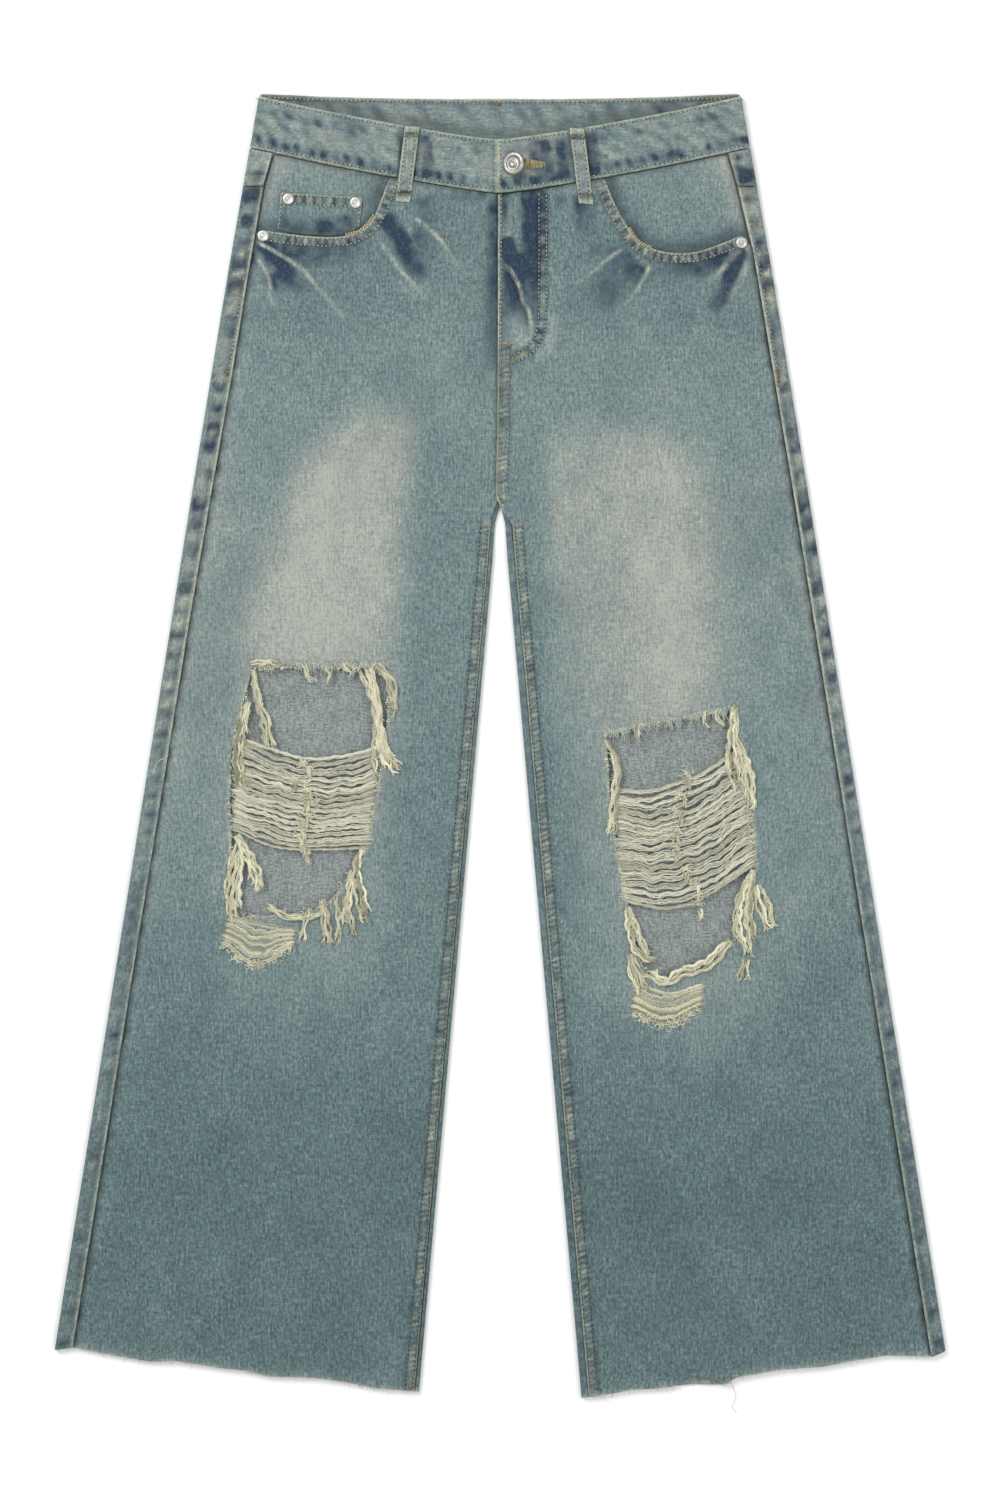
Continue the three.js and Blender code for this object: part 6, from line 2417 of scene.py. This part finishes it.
@dataclass
class Trimmings:
    """The fly's stitching, the buttonhole, frayed hems and loose threads."""

    def fly(self, sewing: Sewing) -> None:
        """Sew the fly, the crotch seam, the pocket edges and the inseams."""

        def left(x: Array, y: Array) -> Array:
            """Height of the left front."""
            return Pattern.front_top(x, y, Side.LEFT)

        dark = {"length": 1.7, "gap": 1.8, "radius": 0.44, "dark": True}
        sewing.row(Path(FLY_EDGE).beside(2.4), left)
        for offset in (3.0, -3.0):
            sewing.row(Path(FLY_J).beside(offset), left)
        for offset in (7.2, 9.8):
            sewing.row(Path(FLY_EDGE[3:7]).beside(offset), left, **dark)
        sewing.bartack((0.8, 324), (9.0, 324), 2.6, left)
        sewing.bartack((8.6, 313.5), (13.5, 312.5), 2.6, left)
        sewing.bartack((-2.0, 205), (2.4, 196), 2.2, left)
        for side in Side:

            def top(x: Array, y: Array, which: Side = side) -> Array:
                """Height of this side's seams."""
                return Pattern.front_top(x, y, which) + 0.45

            for offset in (1.6, 7.4):
                sewing.row(Path(Pattern.SCOOP[side]).beside(-side.value * offset), top)
            for offset in (-0.7, 0.1, 0.9):
                sewing.row(Path(WORN[side]).beside(offset), top, length=1.8, gap=0.3, gold=True)
            for offset in (2.1, 8.3):
                sewing.row(inseam(side, offset, np.linspace(-521, 178, 60)), top, **dark)

    def buttonhole(self, garment: Garment) -> None:
        """Whip the edge of the keyhole beside the button."""
        rng = garment.rng
        gold = garment.sewing.gold
        low, high = (np.array(corner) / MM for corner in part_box("waist_button"))
        x0, y0 = (low + high)[:2] / 2
        for x in np.arange(x0 + 6.5, 36.5, 0.5):
            half = 3.0 * (1 - (x - x0 - 6.5) / (36.5 - x0 - 6.5)) + 0.5
            for k in (-1, 1):
                ys = y0 + k * np.array([half + 1.3, half + 0.7, half * 0.5, 0.1]) + rng.normal(0, 0.1)
                xs = np.full(4, x) + rng.normal(0, 0.12)
                z = on_band(xs, ys) + np.array([0.05, 0.5, 0.55, 0.15])
                gold.add(np.column_stack([xs, ys, z]), 0.32, rng.uniform(0.2, 0.8), 4)

    def hems(self, garment: Garment) -> None:
        """Fray the raw hems and drop the loose threads."""
        rng = garment.rng
        fray = Threads()
        for side in Side:
            sign = side.value
            for x in np.arange(66, 350, 1.1):
                x0 = sign * x + rng.normal(0, 0.3)
                y0 = float(Pattern.hem_y(x0))
                length = rng.exponential(0.9) + 0.35
                t = np.linspace(-0.6, 1, 5)
                xs = x0 + length * rng.normal(0, 0.5) * t + 0.2 * np.sin(4 * t + rng.uniform(0, 6))
                ys = y0 - length * t
                layer = rng.choice([DENIM * 0.5, 2 * DENIM + EASE - 0.5])
                zs = np.full(5, layer) + 0.3 * np.sin(3 * t)
                thick = 0.17 * np.linspace(1, 0.5, 5)
                fray.add(np.column_stack([xs, ys, zs]), thick, rng.uniform(0.4, 1.0), 4)
        strand = Path(((172, -511), (180, -517), (186, -514), (191, -527), (188, -535), (192, -540)))
        line = strand.laid(1.2)
        fray.add(np.column_stack([line, np.full(len(line), 1.2)]), 0.22, 0.8, 4)
        loose = Path(((-268, -7), (-272, -10), (-277, -13), (-280, -20), (-281, -22)))
        line = loose.laid(1.0)
        high = Pattern.underside(line[:, 0], line[:, 1]) + 2 * DENIM + EASE + 0.9
        fray.add(np.column_stack([line, high]), 0.3, 1.0, 4)
        fray.build("hem_fray", garment.finishes.raw)

    def build(self, garment: Garment) -> None:
        """Add all the trimmings, and gather the sewing into three pieces: pale rows, bartacks, and dark rows
        with the painted shade of the needle holes.
        """
        self.fly(garment.sewing)
        self.buttonhole(garment)
        self.hems(garment)
        garment.sewing.pale.build("topstitching", garment.finishes.pale)
        garment.sewing.gold.build("bartacks", garment.finishes.gold)
        garment.sewing.dark.build("needle_holes", garment.finishes.dark)


# ---- Studio -----------------------------------------------------------------------------


@dataclass
class Studio:
    """A pale floor, soft even light, and a camera that looks straight down."""

    view_height: float = 1.215
    lens: float = 100.0

    def floor(self) -> None:
        """Lay the floor just under the cloth."""
        bpy.ops.object.select_all(action="DESELECT")
        bpy.ops.mesh.primitive_plane_add(size=12, location=(0, 0, -0.0006))
        floor = bpy.context.active_object
        floor.name = "floor"
        bench = Bench("pale_floor")
        speck = bench.noise(bench.place(False), 400, 2, 0.5)
        colour = bench.blend(rgb(255, 255, 255), rgb(252, 252, 252), speck)
        bench.feed(bench.shader.inputs["Base Color"], colour)
        bench.shader.inputs["Roughness"].default_value = 0.95
        bench.shader.inputs["Specular IOR Level"].default_value = 0.0
        floor.data.materials.append(bench.material)

    def light(self) -> None:
        """Hang two broad lamps, a key and a fill, over an even white surround."""
        world = bpy.data.worlds.new("surround")
        bpy.context.scene.world = world
        world.use_nodes = True
        world.node_tree.nodes["Background"].inputs[0].default_value = (1, 1, 1, 1)
        world.node_tree.nodes["Background"].inputs[1].default_value = 0.66
        for name, place, size, power in (
            ("key", (-1.6, 1.7, 2.6), 1.6, 56.0),
            ("fill", (1.9, -0.8, 2.8), 2.2, 26.0),
        ):
            lamp = bpy.data.lights.new(name, "AREA")
            lamp.shape = "DISK"
            lamp.size = size
            lamp.energy = power
            holder = bpy.data.objects.new(name, lamp)
            holder.location = place
            holder.rotation_euler = (-Vector(place)).to_track_quat("-Z", "Y").to_euler()
            bpy.context.scene.collection.objects.link(holder)

    def camera(self) -> None:
        """Put the camera straight over the garment, with the waist at the top."""
        data = bpy.data.cameras.new("camera")
        data.lens = self.lens
        data.sensor_width = 36
        data.clip_end = 30
        camera = bpy.data.objects.new("camera", data)
        low, high = CAD_BOX
        distance = self.view_height * self.lens / data.sensor_width
        camera.location = ((low[0] + high[0]) / 2, (low[1] + high[1]) / 2 - 0.0033, distance)
        bpy.context.scene.collection.objects.link(camera)
        bpy.context.scene.camera = camera

    def build(self) -> None:
        """Set the studio up."""
        self.floor()
        self.light()
        self.camera()
        bpy.context.scene.view_settings.view_transform = "Standard"


def main() -> None:
    """Build the garment piece by piece."""
    logging.basicConfig(level=logging.INFO)
    Studio().build()
    finishes = Finishes()
    rng = np.random.default_rng(7)
    garment = Garment(finishes, Sewing(np.random.default_rng(11)), rng)
    for side in Side:
        Back(side).build(garment)
        BackPocket(side).build(garment)
    for side, knee in ((Side.RIGHT, RIGHT_KNEE), (Side.LEFT, LEFT_KNEE)):
        Front(side, knee).build(garment)
        knee.build(garment)
    Facing(Side.RIGHT, 392.0).build(garment)
    Facing(Side.LEFT, 380.0).build(garment)
    CoinPocket().build(garment)
    Waistband().build(garment)
    for name, x, lean in (("belt_loop_front_right", -70.9, -7.7), ("belt_loop_front_left", 62.0, 7.7)):
        BeltLoop(name, (x, float(Pattern.band_top(x))), lean).build(garment)
    for name, x in zip(("right", "centre", "left"), Pattern.BACK_LOOPS):
        top = float(Pattern.back_band_top(x / (Pattern.WAIST_HALF - BAND - 0.3)))
        BeltLoop(f"belt_loop_back_{name}", (x, top), under=True).build(garment)
    button = Turned("waist_button_cap", "waist_button", 2.3, BUTTON_STEPS, seat=0.9, tilt=math.radians(-24))
    button.build(garment)
    for node in ("rivet_coin_outer", "rivet_coin_inner", "rivet_pocket_right", "rivet_pocket_left"):
        Turned(f"{node}_cap", node, 4.6, RIVET_STEPS, seat=0.0, segments=28, bright=True).build(garment)
    Trimmings().build(garment)
    for slot in bpy.data.objects["fly_zip"].material_slots:
        slot.link = "OBJECT"
        slot.material = finishes.tape
    total = 0
    for piece in bpy.context.scene.objects:
        if piece.type == "MESH" and not piece.hide_render:
            count = sum(len(face.vertices) - 2 for face in piece.data.polygons)
            total += count
            LOG.info("%s: %d triangles", piece.name, count)
    LOG.info("%d triangles in all", total)


if __name__ == "__main__":
    main()
